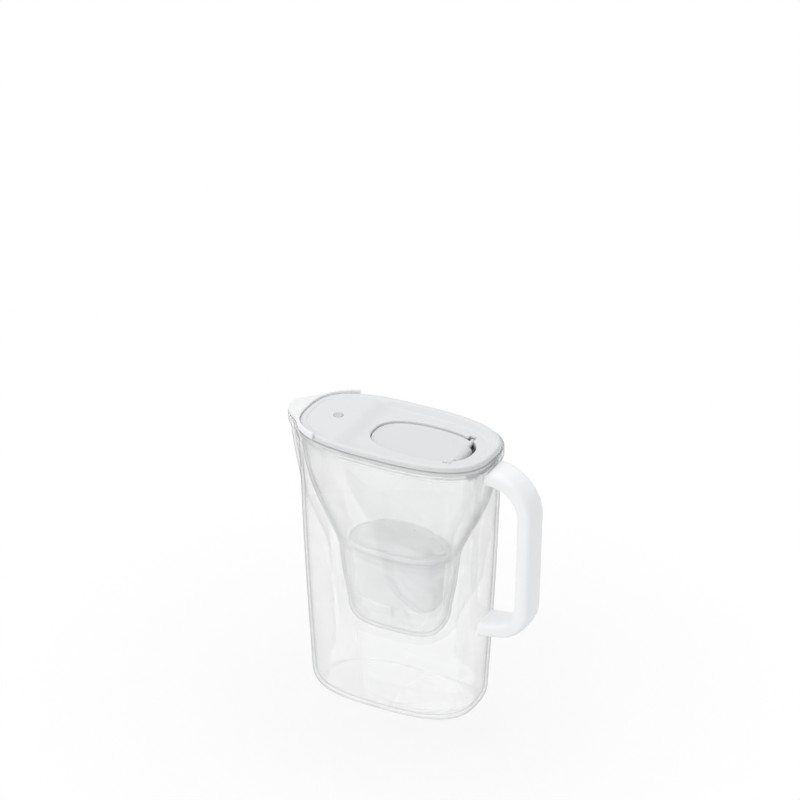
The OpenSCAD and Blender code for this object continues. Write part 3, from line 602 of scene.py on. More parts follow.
class Shader(Maker):
    """The maker of one material, with the patterns that the finishes share."""

    def __init__(self, name):
        self.material = bpy.data.materials.new(name)
        self.material.use_nodes = True
        super().__init__(self.material.node_tree)
        self.tree.nodes.clear()
        self.place = self.node("ShaderNodeTexCoord").outputs["Object"]

    def noise(self, scale, detail=2.0, rough=0.5, stretch=None):
        place = self.place
        if stretch:
            place = self.out("ShaderNodeMapping", {"Vector": place, "Scale": stretch})
        sockets = {"Vector": place, "Scale": scale, "Detail": detail, "Roughness": rough}
        return Field(self, self.out("ShaderNodeTexNoise", sockets))

    def grain(self, scale):
        """Cells of a spark-eroded mould, as a height."""
        sockets = {"Vector": self.place, "Scale": scale}
        made = self.node("ShaderNodeTexVoronoi", {"feature": "SMOOTH_F1"}, sockets)
        return Field(self, made.outputs["Distance"])

    def mixed(self, share, first, second):
        made = self.node("ShaderNodeMix", {"data_type": "RGBA"}, {0: share, 6: first, 7: second})
        return made.outputs[2]

    def bump(self, height, strength, distance):
        return self.out("ShaderNodeBump", {"Height": height, "Strength": strength, "Distance": distance})

    def facing(self, blend):
        return Field(self, self.node("ShaderNodeLayerWeight", None, {"Blend": blend}).outputs["Facing"])

    def marked(self, name):
        """The share that mark_points wrote."""
        return Field(self, self.node("ShaderNodeAttribute", {"attribute_name": name}).outputs["Fac"])

    def blend(self, share, first, second):
        """One surface mixed into another."""
        return self.out("ShaderNodeMixShader", [share, first, second])

    def end(self, surface):
        self.node("ShaderNodeOutputMaterial", None, {"Surface": surface})
        return self.material

    def end_principled(self, surface):
        return self.end(self.out("ShaderNodeBsdfPrincipled", surface))

    def lamp_ray(self):
        path = self.node("ShaderNodeLightPath").outputs
        return self.math("MAXIMUM", path["Is Shadow Ray"], path["Is Diffuse Ray"])


def rgba(colour):
    return (*colour, 1.0)


# Names of the point attributes that clear_plastic reads, with a share from 0 to 1 for each point
INNER_RIB = "inner_rib"
# A share of painted edge shade, which turns chosen edges of the clear plastic darker grey
PAINTED_EDGE_SHADE = "painted_edge_shade"

# How dark the painted edge shade is: on the top of the jug rim, and on a thinner edge
RIM_SHADE, EDGE_SHADE = 0.65, 0.4
PLASTIC_IOR = 1.45


def mark_points(obj, name, share):
    """Writes a share on each point of a piece, for its finish."""
    marks = obj.data.attributes.new(name, "FLOAT", "POINT")
    for vertex, mark in zip(obj.data.vertices, marks.data):
        mark.value = share(*vertex.co)


def clear_plastic(name, face, edge, roughness, thinness, falloff):
    """Clear moulded plastic with faint flow lines, a grey outline that is partly painted shade, painted shade
    on marked edges, and paler inner ribs.

    The thinness is the share that lets light pass straight through. The falloff narrows the outline.
    """
    m = Shader(name)
    # The outline turns grey where the surface turns away from view: partly the tint of the longer path
    # through the plastic, partly painted edge shade; the marked edges add painted shade on top
    outline = m.math("MAXIMUM", m.facing(0.5) ** falloff, m.marked(PAINTED_EDGE_SHADE))
    tint = m.mixed(outline, rgba(face), rgba(edge))
    flow = m.noise(16.0, 3.0, 0.55, (1.0, 1.0, 0.35))
    marks = m.noise(420.0, 2.0, 0.6, (1.0, 1.0, 0.12))
    rough = roughness + 0.02 * m.noise(60.0) + 0.03 * (marks > 0.66)
    wave = m.bump(flow + 0.03 * marks, 0.05, 0.0009)
    surface = {"Base Color": tint, "Roughness": rough, "IOR": PLASTIC_IOR, "Normal": wave}
    glass = m.out("ShaderNodeBsdfPrincipled", {**surface, "Transmission Weight": 1.0})
    square_on, glancing_shade, open_air = (
        m.out("ShaderNodeBsdfTransparent", {"Color": rgba(c)}) for c in (face, edge, toned(face, 0.5, 0.5))
    )
    seen = m.blend(thinness, glass, m.blend(outline, square_on, glancing_shade))
    seen = m.blend(m.marked(INNER_RIB) * 0.8, seen, open_air)
    return m.end(m.blend(m.lamp_ray(), seen, open_air))


def moulded_plastic(name, base, roughness, grain_scale, grain_depth, soft=0.0, coat=0.0):
    """Opaque or milky moulded plastic with a fine grain, small changes of tone and of shine."""
    m = Shader(name)
    cloud = m.noise(22.0, 3.0, 0.55)
    speck = m.noise(260.0, 2.0, 0.6)
    tint = m.mixed((cloud * 0.7 + speck * 0.3).clamped(), rgba(toned(base, 0.95)), rgba(base))
    rough = roughness + 0.08 * (m.noise(35.0) - 0.5) + 0.05 * (speck - 0.5)
    fine = m.grain(grain_scale)
    surface = {
        "Base Color": tint,
        "Roughness": rough.clamped(),
        "Normal": m.bump(fine + 0.5 * m.noise(12.0), grain_depth, 0.0006),
        "Subsurface Weight": soft,
        "Subsurface Radius": (0.004, 0.004, 0.004),
        "Subsurface Scale": 1.0,
        "Coat Weight": coat,
        "Coat Roughness": 0.12,
    }
    return m.end_principled(surface)


def rubber(name, base):
    """Soft rubber with a dusty bloom."""
    m = Shader(name)
    bloom = m.noise(90.0, 3.0, 0.6)
    tint = m.mixed(bloom, rgba(base), rgba(toned(base, 0.8, 0.05)))
    grain = m.bump(m.noise(700.0), 0.2, 0.0004)
    return m.end_principled({"Base Color": tint, "Roughness": 0.6 + 0.2 * bloom, "Normal": grain})


def granule_mix(name):
    """Dark porous granules among pale round ones."""
    m = Shader(name)
    pick = m.noise(480.0, 1.0, 0.5)
    pale = pick > 0.56
    tint = m.mixed(pale, (0.03, 0.03, 0.032, 1), (0.62, 0.55, 0.40, 1))
    pores = m.bump(m.grain(2600.0), 0.6, 0.0004)
    return m.end_principled({"Base Color": tint, "Roughness": 0.85 - 0.3 * pale, "Normal": pores})


def brushed_steel(name, base):
    """Rolled metal with fine round brushing."""
    m = Shader(name)
    streak = m.noise(260.0, 3.0, 0.6, (1.0, 8.0, 1.0))
    tint = m.mixed(streak, rgba(base), rgba(toned(base, 0.8)))
    surface = {"Base Color": tint, "Metallic": 1.0, "Roughness": 0.22 + 0.2 * streak}
    return m.end_principled({**surface, "Normal": m.bump(streak, 0.1, 0.0003)})


def circuit_laminate(name):
    """Green board with copper runs under the lacquer and small tinned pads."""
    m = Shader(name)
    brick = {"Vector": m.place, "Scale": 420.0, "Mortar Size": 0.012}
    runs = m.node("ShaderNodeTexBrick", {"offset": 0.5}, brick).outputs["Fac"]
    tint = m.mixed(runs, (0.02, 0.13, 0.055, 1), (0.05, 0.24, 0.10, 1))
    lacquer = 0.35 + 0.1 * m.noise(150.0)
    return m.end_principled({"Base Color": tint, "Roughness": lacquer, "Normal": m.bump(runs, 0.2, 0.0003)})


MATERIALS = {}


def make_materials(f):
    """All the finishes of the pitcher, from the colours that the user may change."""
    MATERIALS.update(
        jug=clear_plastic("Clear jug plastic", f.clear_face, f.clear_edge_shade, 0.0, 0.8, 6.0),
        hopper=clear_plastic("Clear hopper plastic", f.clear_face, f.clear_edge_shade, 0.02, 0.85, 4.5),
        handle=moulded_plastic("Frosted handle plastic", f.frosted, 0.42, 1400.0, 0.08, soft=0.3),
        lid=moulded_plastic("Lid plastic", f.lid, 0.40, 1600.0, 0.06),
        flap=moulded_plastic("Flap plastic", toned(f.lid, 0.96), 0.34, 1800.0, 0.04),
        visor=moulded_plastic("Spout cover plastic", f.visor, 0.30, 1500.0, 0.03, soft=0.3),
        cartridge=moulded_plastic("Cartridge plastic", f.cartridge, 0.38, 1200.0, 0.04, soft=0.25),
        case=moulded_plastic("Indicator case plastic", f.case, 0.36, 1400.0, 0.05),
        button=moulded_plastic("Push button plastic", f.button, 0.34, 1500.0, 0.04, coat=0.2),
        lens=moulded_plastic("Status lens", (0.06, 0.062, 0.065), 0.12, 400.0, 0.01, coat=0.6),
        seal=rubber("Cartridge seal rubber", (0.55, 0.55, 0.55)),
        gasket=rubber("Indicator gasket rubber", (0.03, 0.03, 0.03)),
        screen=moulded_plastic("Screen thread", (0.78, 0.78, 0.76), 0.45, 2400.0, 0.05, soft=0.2),
        granules=granule_mix("Filter granules"),
        board=circuit_laminate("Circuit board laminate"),
        steel=brushed_steel("Coin cell steel", (0.62, 0.62, 0.61)),
        brass=brushed_steel("Contact brass", (0.72, 0.52, 0.22)),
        switch=moulded_plastic("Switch plastic", (0.05, 0.05, 0.052), 0.4, 900.0, 0.1),
    )


# ---------- Jug ----------


def jug_levels(s):
    """The heights and outlines that the jug and its handle share."""
    wall_top = s.height - s.rim_depth - mm(1)

    def half(z, grow=0.0):
        rise = (z - s.foot_round) / (wall_top - s.foot_round)
        bow = s.wall_bow * math.sin(math.pi * rise)
        return (
            lerp(s.waist_length / 2, s.rim_length / 2 - s.rim_step, rise) + bow + grow,
            lerp(s.waist_width / 2, s.rim_width / 2 - s.rim_step, rise) + bow / 2 + grow,
        )

    return wall_top, half


def jug_outer_rows(s, grow=0.0):
    """The outside of the jug from the floor up to the foot of its rim."""
    wall_top, half = jug_levels(s)
    rows = []
    for i in range(13):
        inward, rise = foot_curve(i / 12)
        half_x, half_y = (size / 2 - s.foot_inset * inward + grow for size in (s.waist_length, s.waist_width))
        rows.append(station(half_x, half_y, s.foot_round * rise, s.squareness))
    for z in np.linspace(s.foot_round, wall_top - mm(1), 46)[1:]:
        rows.append(station(*half(z, grow), z, s.squareness))
    low = rows[-1]
    high = station(s.rim_length / 2 + grow, s.rim_width / 2 + grow, wall_top + mm(0.4), s.squareness)
    for i in range(1, 9):
        row = lerp(low, high, i / 8)
        for side in (HALF_X, HALF_Y):
            row[side] = lerp(low[side], high[side], ease(i / 8))
        rows.append(row)
    return rows


def jug_inner_rows(s):
    half = jug_levels(s)[1]
    heights = np.linspace(s.height - s.rim_depth - mm(1.2), s.foot_round, 44)
    rows = [station(*half(z, -s.wall), z, s.squareness, s.wall) for z in heights]
    for i in range(11, -1, -1):
        inward, rise = foot_curve(i / 12)
        inset = s.wall + s.foot_inset * inward
        z = s.floor + (s.foot_round - s.floor) * rise
        rows.append(station(s.waist_length / 2 - inset, s.waist_width / 2 - inset, z, s.squareness, s.wall))
    return rows


def spout_inputs(s):
    return {
        "spout_reach": s.spout_reach,
        "spout_half_width": s.spout_half_width,
        "spout_foot_height": s.height - s.spout_drop,
        "spout_drop": s.spout_drop,
    }


def build_jug(s):
    n = s.squareness
    a, b = s.rim_length / 2, s.rim_width / 2
    bore_a, bore_b = a - s.rim_wall, b - s.rim_wall
    foot_a, foot_b = s.waist_length / 2 - s.foot_inset, s.waist_width / 2 - s.foot_inset
    ledge = s.height - s.rim_depth
    wall_top, half = jug_levels(s)
    ledge_a, ledge_b = half(wall_top, -s.wall)
    under = [
        (station(0, 0, 0, n), 0),
        (station(foot_a - mm(1), foot_b - mm(1), 0, n), 0),
    ]
    rim = [
        (station(a, b, ledge + mm(0.4), n), 0),
        (station(a, b, s.height, n), mm(0.95)),
        (station(bore_a, bore_b, s.height, n, s.wall), mm(0.95)),
        (station(bore_a, bore_b, ledge, n, s.wall), mm(0.5)),
        (station(ledge_a, ledge_b, ledge, n, s.wall), mm(0.7)),
        (station(ledge_a, ledge_b, ledge - mm(1.1), n, s.wall), 0),
    ]
    rows = filleted(under) + jug_outer_rows(s) + filleted(rim) + jug_inner_rows(s)
    rows.append(station(0, 0, s.floor, n, s.wall))
    jug = oval_piece("jug", rows, MATERIALS["jug"], 256, **spout_inputs(s))

    def painted_rim_shade(x, y, z):
        """Painted shade on the rounded top of the rim and on the edge where the rim steps out."""
        if z > s.height - mm(0.5):
            return RIM_SHADE
        return EDGE_SHADE if wall_top - mm(0.2) < z < wall_top + mm(0.3) else 0.0

    mark_points(jug, PAINTED_EDGE_SHADE, painted_rim_shade)
    return finished(jug, "jug_clear_shell", "jug", ["jug_shell"], 50)


# ---------- Handle ----------


def build_handle(s, jug):
    half = jug_levels(jug)[1]
    upper = jug.height - s.drop
    lower = upper - s.height
    middle_z = (upper + lower) / 2
    root = jug.waist_length / 2 - mm(1)
    grip_x = half(middle_z)[0] + s.finger_gap + s.grip_thickness / 2
    lean = (half(upper)[0] - half(lower)[0]) / s.height * 0.55
    steps = 18
    path = [(root, upper), (lerp(root, grip_x - s.upper_bend, 0.5), upper)]
    for i in range(steps + 1):
        down, back = foot_curve(1 - i / steps)
        path.append((grip_x - s.upper_bend * back, upper - s.upper_bend * down))
    path += [(grip_x, z) for z in np.linspace(upper - s.upper_bend, lower + s.lower_bend, 14)[1:-1]]
    for i in range(steps + 1):
        up, back = foot_curve(i / steps)
        path.append((grip_x - s.lower_bend * back, lower + s.lower_bend * up))
    path += [(lerp(root, grip_x - s.lower_bend, 0.5), lower - mm(1.5)), (root, lower - mm(3))]
    points = np.array([(x + lean * (z - middle_z), 0.0, z) for x, z in path])
    runs = np.gradient(points, axis=0)
    runs /= np.linalg.norm(runs, axis=1)[:, None]
    near = np.clip(1 - (points[:, 0] - jug.rim_length / 2) / s.finger_gap, 0, 1) ** 2
    half_w = s.grip_width / 2 + s.flare / 2 * near
    half_t = s.grip_thickness / 2 - mm(0.5) * near
    sideways = np.stack([np.zeros(len(points)), half_w, np.zeros(len(points))], 1)
    outwards = np.stack([-runs[:, 2], np.zeros(len(points)), runs[:, 0]], 1) * half_t[:, None]
    ends = [0, *range(len(points)), len(points) - 1]
    scale = np.ones(len(ends))
    scale[[0, -1]] = 0.0
    grip = loft(
        "grip",
        points[ends],
        sideways[ends] * scale[:, None],
        outwards[ends] * scale[:, None],
        np.full(len(ends), s.squareness),
        MATERIALS["handle"],
        72,
    )
    mend(grip)
    plug_z = jug.height + mm(4)
    outer = jug_outer_rows(jug, mm(0.15))
    top = outer[-1].copy()
    top[Z] = plug_z
    rows = [station(0, 0, 0, jug.squareness), *outer, top, station(0, 0, plug_z, jug.squareness)]
    plug = oval_piece("plug", rows, MATERIALS["handle"], 256, **spout_inputs(jug))
    combine(grip, "DIFFERENCE", mend(plug))
    return finished(grip, "handle_grip", "jug", ["handle"], 40)


# ---------- Hopper ----------


def hopper_outline(s, jug):
    """Half sizes of the hopper wall by height, outer side."""
    wall_top, half = jug_levels(jug)
    top_a, top_b = half(wall_top, -jug.wall - mm(0.6))
    flange_z = HOPPER_TOP.z - s.flange
    bowl_top = flange_z - mm(6)
    neck = s.shelf_z - mm(5)
    round_z = s.floor_z + s.well_round

    def bowl(share, grow):
        f = math.sin(math.pi / 2 * share**0.75) ** 2
        half_x, half_y = lerp(s.well_length / 2, top_a, f) + grow, lerp(s.well_width / 2, top_b, f) + grow
        return station(half_x, half_y, lerp(neck, bowl_top, share), lerp(WELL_SQUARENESS, PLAN_SQUARENESS, f))

    def well(z, grow):
        f = 1 - (1 - (z - round_z) / (neck - round_z)) ** 1.4
        half_x, half_y = lerp(s.floor_length, s.well_length, f) / 2, lerp(s.floor_width, s.well_width, f) / 2
        return station(half_x + grow, half_y + grow, z, WELL_SQUARENESS)

    def foot(share, grow, rise):
        inward, up = foot_curve(share)
        half_x, half_y = (size / 2 + grow - mm(12) * inward for size in (s.floor_length, s.floor_width))
        return station(half_x, half_y, lerp(s.floor_z + rise, round_z, up), WELL_SQUARENESS)

    return top_a, top_b, flange_z, bowl_top, neck, round_z, bowl, well, foot


def perforate_tree():
    """Cuts a row of round holes on each side of the middle through the piece that it is given."""
    sizes = ("Pitch", "Side", "Radius", "Height", "Depth")
    maker, given, end = new_geometry_tree("Drain Holes", ("Holes",), sizes)
    count, pitch = given["Holes"], given["Pitch"]
    sides = {"Vertices X": count, "Vertices Y": 2, "Size X": pitch * (count - 1), "Size Y": given["Side"] * 2}
    line = maker.out("GeometryNodeMeshGrid", sides)
    place = maker.node("ShaderNodeSeparateXYZ", None, [maker.out("GeometryNodeInputPosition")]).outputs
    kept = abs(Field(maker, place[0])) > pitch * 0.5
    up = maker.out("ShaderNodeCombineXYZ", [0.0, 0.0, given["Height"]])
    lifted = maker.out("GeometryNodeSetPosition", {"Geometry": line, "Offset": up})
    drill_size = {"Vertices": 40, "Radius": given["Radius"], "Depth": given["Depth"]}
    drill = maker.out("GeometryNodeMeshCylinder", drill_size, {"fill_type": "NGON"})
    spots = {"Points": lifted, "Selection": kept, "Instance": drill}
    drills = maker.out("GeometryNodeInstanceOnPoints", spots)
    real = maker.out("GeometryNodeRealizeInstances", {"Geometry": drills})
    cut = maker.node("GeometryNodeMeshBoolean", {"operation": "DIFFERENCE", "solver": "EXACT"})
    maker.feed(cut.inputs["Mesh 1"], given["Geometry"])
    maker.feed(cut.inputs["Mesh 2"], real)
    return end(cut.outputs[0])


def build_hopper(s, jug):
    top_a, top_b, flange_z, bowl_top, neck, round_z, bowl, well, foot = hopper_outline(s, jug)
    w = s.wall
    outer = [station(0, 0, s.floor_z, WELL_SQUARENESS)]
    outer += [foot(i / 12, 0, 0) for i in range(13)]
    outer += [well(z, 0) for z in np.linspace(round_z, neck, 16)[1:]]
    outer += [bowl(i / 36, 0) for i in range(1, 37)]
    flange_a, flange_b = HOPPER_TOP.x, HOPPER_TOP.y
    top = flange_z + s.flange
    flange = filleted(
        [
            (station(top_a, top_b, bowl_top + mm(0.2)), 0),
            (station(top_a, top_b, flange_z), mm(0.8)),
            (station(flange_a, flange_b, flange_z), mm(0.5)),
            (station(flange_a, flange_b, top), mm(0.9)),
            (station(top_a - w, top_b - w, top), mm(0.7)),
            (station(top_a - w, top_b - w, bowl_top + mm(0.2)), 0),
        ]
    )
    lip_a = CUP_TOP.x - mm(5.5) + mm(1.2)
    lip_b = CUP_TOP.y - mm(5.5) + mm(1.2)
    shelf_t = mm(2)

    def lip(grow, z):
        return station(lip_a + grow, lip_b + grow, z, WELL_SQUARENESS)

    shelf_share = (s.shelf_z - neck) / (bowl_top - neck)
    under_share = (s.shelf_z - shelf_t - neck) / (bowl_top - neck)
    inner = [bowl(share, -w) for share in np.linspace(1, shelf_share, 34)]
    shelf = filleted(
        [
            (inner[-1], 0),
            (bowl(shelf_share, -w), mm(0.6)),
            (lip(0, s.shelf_z), mm(0.6)),
            (lip(0, s.shelf_z - mm(10)), mm(0.6)),
            (lip(w * 0.7, s.shelf_z - mm(10)), mm(0.6)),
            (lip(w * 0.7, s.shelf_z - shelf_t), mm(0.6)),
            (bowl(under_share, -w), mm(0.5)),
            (well(neck, -w), 0),
        ]
    )[1:]
    low = [well(z, -w) for z in np.linspace(neck, round_z, 16)[1:]]
    low += [foot(share, -w, w) for share in np.linspace(1, 0, 13)[1:]]
    low.append(station(0, 0, s.floor_z + w, WELL_SQUARENESS))
    shell = oval_piece("hopper", outer + flange + inner + shelf + low, MATERIALS["hopper"], 224)
    post = block(
        "post",
        (-mm(7), -mm(5), s.floor_z + w / 2),
        (mm(7), mm(5), s.floor_z + w + mm(16)),
        MATERIALS["hopper"],
        mm(1.2),
    )
    combine(shell, "UNION", post)
    drains = {
        "Holes": 5,
        "Pitch": s.drain_pitch,
        "Side": mm(5),
        "Radius": s.drain_radius,
        "Height": s.floor_z + w / 2,
        "Depth": w + mm(2),
    }
    run_tree(shell, perforate_tree(), drains, MATERIALS["hopper"])

    def inner_rib(x, y, z):
        """The shelf and its lip, inside the middle of the wall."""
        if not s.shelf_z - mm(10.5) < z < s.shelf_z + mm(1.6):
            return 0.0
        side = bowl((z - neck) / (bowl_top - neck), -w / 2) if z > neck else well(z, -w / 2)
        reach = (abs(x) / side[HALF_X]) ** WELL_SQUARENESS + (abs(y) / side[HALF_Y]) ** WELL_SQUARENESS
        return 1.0 if reach < 1 else 0.0

    mark_points(shell, INNER_RIB, inner_rib)
    # Painted shade along the top edge of the hopper flange
    mark_points(shell, PAINTED_EDGE_SHADE, lambda x, y, z: EDGE_SHADE if z > top - mm(0.3) else 0.0)
    return finished(shell, "hopper_clear_shell", "hopper", ["hopper_shell"], 40)


# ---------- Cartridge ----------


def build_cup(s):
    a, b = s.length_all / 2 - s.lip, s.width_all / 2 - s.lip
    low, top = CUP_LOW.z, CUP_TOP.z
    flange_low = top - mm(1.5)
    taper, curve, w = mm(2.5), mm(8), s.wall
    n = WELL_SQUARENESS

    def foot(share, wall):
        inward, rise = foot_curve(share)
        inset = taper + wall + curve * inward
        return station(a - inset, b - inset, low + wall + curve * rise, n)

    rows = [station(0, 0, low, n), *(foot(i / 8, 0) for i in range(9))]
    rows += filleted(
        [
            (rows[-1], 0),
            (station(a, b, flange_low, n), mm(0.5)),
            (station(s.length_all / 2, s.width_all / 2, flange_low, CARTRIDGE_SQUARENESS), mm(0.3)),
            (station(s.length_all / 2, s.width_all / 2, top, CARTRIDGE_SQUARENESS), mm(0.3)),
            (station(a - w, b - w, top, n), mm(0.3)),
            (station(a - w - taper, b - w - taper, low + w + curve, n), 0),
        ]
    )[1:]
    rows += [foot(i / 8, w) for i in range(7, -1, -1)]
    rows.append(station(0, 0, low + w, n))
    cup = oval_piece("cup", rows, MATERIALS["cartridge"], 160)
    slots = []
    for i in range(-2, 3):
        corners = (mm(10 * i - 1), -mm(8), low - mm(1)), (mm(10 * i + 1), mm(8), low + w + mm(1))
        slots.append(block("slot", *corners, MATERIALS["cartridge"], mm(0.6)))
    combine(cup, "DIFFERENCE", *slots)
    return finished(cup, "cartridge_cup_shell", "cartridge", ["cartridge_cup"])


VENTS = ((-mm(19), mm(8)), (mm(12.5), mm(3)))


def dome_station(s, share, grow, base, tail=0.0):
    """One ring of the dome. A tail draws its handle end in, for the inside of the finger hollow."""
    f = max(0.0, math.cos(math.pi / 2 * share)) ** 0.55
    a, b = (s.length_all / 2 - s.dome_end + grow) * f, (s.width_all / 2 - mm(3) + grow) * f
    z = base + (s.dome + grow) * math.sin(math.pi / 2 * share)
    return station(a * (1 - tail / 2), b, z, CARTRIDGE_SQUARENESS, x=-a * tail / 2)


def build_cover(s):
    base = COVER_LOW.z
    a, b = s.length_all / 2, s.width_all / 2
    lip_h, lip_t, w = mm(3), mm(1.6), s.wall
    material = MATERIALS["cartridge"]
    dome = [dome_station(s, share, 0, base) for share in np.linspace(0.08, 0.995, 36)]
    inside = [dome_station(s, share, -w, base, 0.28) for share in np.linspace(0.97, 0.0, 28)]
    n = CARTRIDGE_SQUARENESS
    rows = [station(0, 0, base + s.dome - w, n), *inside]
    rows += filleted(
        [
            (inside[-1], 0),
            (station(inside[-1][HALF_X], inside[-1][HALF_Y], base, n, x=inside[-1][X]), mm(0.2)),
            (station(a, b, base, n), mm(0.4)),
            (station(a, b, base + lip_h, n), mm(0.7)),
            (station(a - lip_t, b - lip_t, base + lip_h, n), mm(0.6)),
            (station(a - lip_t, b - lip_t, base + w, n), mm(0.6)),
            (dome[0], mm(0.6)),
            (dome[1], 0),
        ]
    )[1:]
    rows += dome[2:]
    rows.append(station(0, 0, base + s.dome, n))
    cover = oval_piece("cover", rows, material, 160)
    turns = [math.pi * i / 32 for i in range(1, 32)]
    ball = [(mm(12) * math.sin(turn), mm(12) * (1 - math.cos(turn))) for turn in turns]
    middle = (a - s.dome_end + mm(2), 0, base + s.dome - mm(12))
    scoop = turned("scoop", ball, middle, (0, 0, 1), material, 96)
    guard = block("guard", (-a, -b, base + w + mm(0.02)), (2 * a, b, base + 2 * s.dome), material)
    combine(scoop, "INTERSECT", guard)
    holes = [rod("vent", mm(1.2), (x, y, base), (x, y, base + s.dome + mm(2)), material) for x, y in VENTS]
    combine(cover, "DIFFERENCE", scoop, *holes)
    ring_r, bar = mm(7), mm(1.3)
    ring_x, ring_z = a - ring_r - bar - lip_t, base + lip_h + mm(1.4)
    rings = []
    for i in range(49):
        t = math.radians(-120 + 240 * i / 48)
        out = Vector((math.cos(t), math.sin(t), 0))
        spot = Vector((ring_x, 0, ring_z)) + out * ring_r
        rings.append([spot + bar * (c * out + w * Vector((0, 0, 1))) for c, w in circle(1, 20)])
    pull = skin("pull", rings, material)
    cover = joined("cover", [cover, pull], material)
    return finished(cover, "cartridge_domed_cover", "cartridge", ["cartridge_cover"])


def granule_tree():
    """Scatters granules over the surface of the bed that it is given, and keeps the bed under them."""
    maker, given, end = new_geometry_tree("Granule Bed", ("Granules", "Seed"), ("Size",))
    size, seed = given["Size"], given["Seed"]
    area = maker.node("GeometryNodeAttributeStatistic", {"domain": "FACE"})
    maker.feed(area.inputs["Geometry"], given["Geometry"])
    maker.feed(area.inputs["Attribute"], maker.out("GeometryNodeInputMeshFaceArea"))
    density = given["Granules"] / Field(maker, area.outputs["Sum"])
    spots = maker.out(
        "GeometryNodeDistributePointsOnFaces",
        {"Mesh": given["Geometry"], "Density": density, "Seed": seed},
        {"distribute_method": "RANDOM"},
    )
    grain = maker.out("GeometryNodeMeshIcoSphere", {"Radius": size * 0.5, "Subdivisions": 2})
    spin, scale = (
        maker.out("FunctionNodeRandomValue", {0: low, 1: high, "Seed": seed}, {"data_type": "FLOAT_VECTOR"})
        for low, high in (((0, 0, 0), (6.28, 6.28, 6.28)), ((0.6, 0.6, 0.4), (1.1, 1.1, 0.9)))
    )
    grains = maker.out(
        "GeometryNodeInstanceOnPoints", {"Points": spots, "Instance": grain, "Rotation": spin, "Scale": scale}
    )
    both = maker.node("GeometryNodeJoinGeometry")
    maker.feed(both.inputs[0], given["Geometry"])
    maker.feed(both.inputs[0], grains)
    return end(both.outputs[0])


def build_granules(s):
    """The bed of filter granules, a little inside the solid that the frame gives it."""
    half_x, half_y, low, top = BED_TOP.x, BED_TOP.y, BED_LOW.z, BED_TOP.z
    edge = s.granule * 0.55
    sides = ((mm(11.5), low + edge), (mm(4.5), low + mm(4)), (mm(3.2), low + mm(9)), (0, top - edge))
    rows = [
        station(0, 0, low + edge, WELL_SQUARENESS),
        *(station(half_x - inset - edge, half_y - inset - edge, z, WELL_SQUARENESS) for inset, z in sides),
        station(0, 0, top - edge, WELL_SQUARENESS),
    ]
    bed = oval_piece("bed", rows, MATERIALS["granules"], 96)
    values = {"Granules": s.granules, "Size": s.granule, "Seed": 7}
    run_tree(bed, granule_tree(), values, MATERIALS["granules"])
    return finished(bed, "filter_granule_bed", "cartridge", ["filter_granules"], 60)


def weave_tree():
    """A woven screen: threads both ways inside an oval, held by a rim."""
    sizes = ("Half Length", "Half Width", "Pitch", "Thread", "Height")
    maker, given, end = new_geometry_tree("Woven Screen", (), sizes)
    half_x, half_y, pitch, thread, height = (given[name] for name in sizes)
    made = []
    for half_run, half_span, turn in ((half_x, half_y, 0.0), (half_y, half_x, math.pi / 2)):
        count = maker.math("FLOOR", half_span * 1.96 / pitch)
        span = pitch * (count - 1)
        sides = {"Vertices X": 1, "Vertices Y": count, "Size X": 0.0, "Size Y": span}
        line = maker.out("GeometryNodeMeshGrid", sides)
        points = maker.out("GeometryNodeMeshToPoints", {"Mesh": line})
        place = maker.node("ShaderNodeSeparateXYZ", None, [maker.out("GeometryNodeInputPosition")]).outputs
        share = (abs(Field(maker, place[1])) / half_span).clamped()
        run = (1 - share**3.0) ** (1 / 3.0)
        stick_size = {"Vertices": 6, "Radius": thread * 0.5, "Depth": half_run * 2}
        stick = maker.out("GeometryNodeMeshCylinder", stick_size, {"fill_type": "NGON"})
        scale = maker.out("ShaderNodeCombineXYZ", [1.0, 1.0, run])
        laid = maker.out(
            "GeometryNodeInstanceOnPoints",
            {"Points": points, "Instance": stick, "Rotation": (0.0, math.pi / 2, 0.0), "Scale": scale},
        )
        real = maker.out("GeometryNodeRealizeInstances", {"Geometry": laid})
        placed = maker.node("GeometryNodeTransform", None, {"Geometry": real, "Rotation": (0.0, 0.0, turn)})
        up = maker.out("ShaderNodeCombineXYZ", [0.0, 0.0, height])
        maker.feed(placed.inputs["Translation"], up)
        made.append(placed.outputs[0])
    both = maker.node("GeometryNodeJoinGeometry")
    for part in [given["Geometry"], *made]:
        maker.feed(both.inputs[0], part)
    return end(both.outputs[0])


def build_screens():
    """The two screens of the cartridge, each a moulded rim with threads across it."""
    tree = weave_tree()
    screens = (("top_screen", "top_woven_screen", mm(1.5)), ("bottom_screen", "bottom_woven_screen", mm(1.2)))
    for node, name, pitch in screens:
        low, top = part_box(node)
        rim = mm(1.6)
        rows = filleted(
            [
                (station(top.x - inset, top.y - inset, z, WELL_SQUARENESS), mm(0.15))
                for inset, z in ((0, low.z), (0, top.z), (rim, top.z), (rim, low.z))
            ],
            closed=True,
            steps=3,
        )
        screen = oval_piece(name, rows, MATERIALS["screen"], 96)
        values = {
            "Half Length": top.x - rim * 0.6,
            "Half Width": top.y - rim * 0.6,
            "Pitch": pitch,
            "Thread": mm(0.35),
            "Height": (low.z + top.z) / 2,
        }
        run_tree(screen, tree, values, MATERIALS["screen"])
        finished(screen, name, "cartridge", [node])


# ---------- Lid ----------


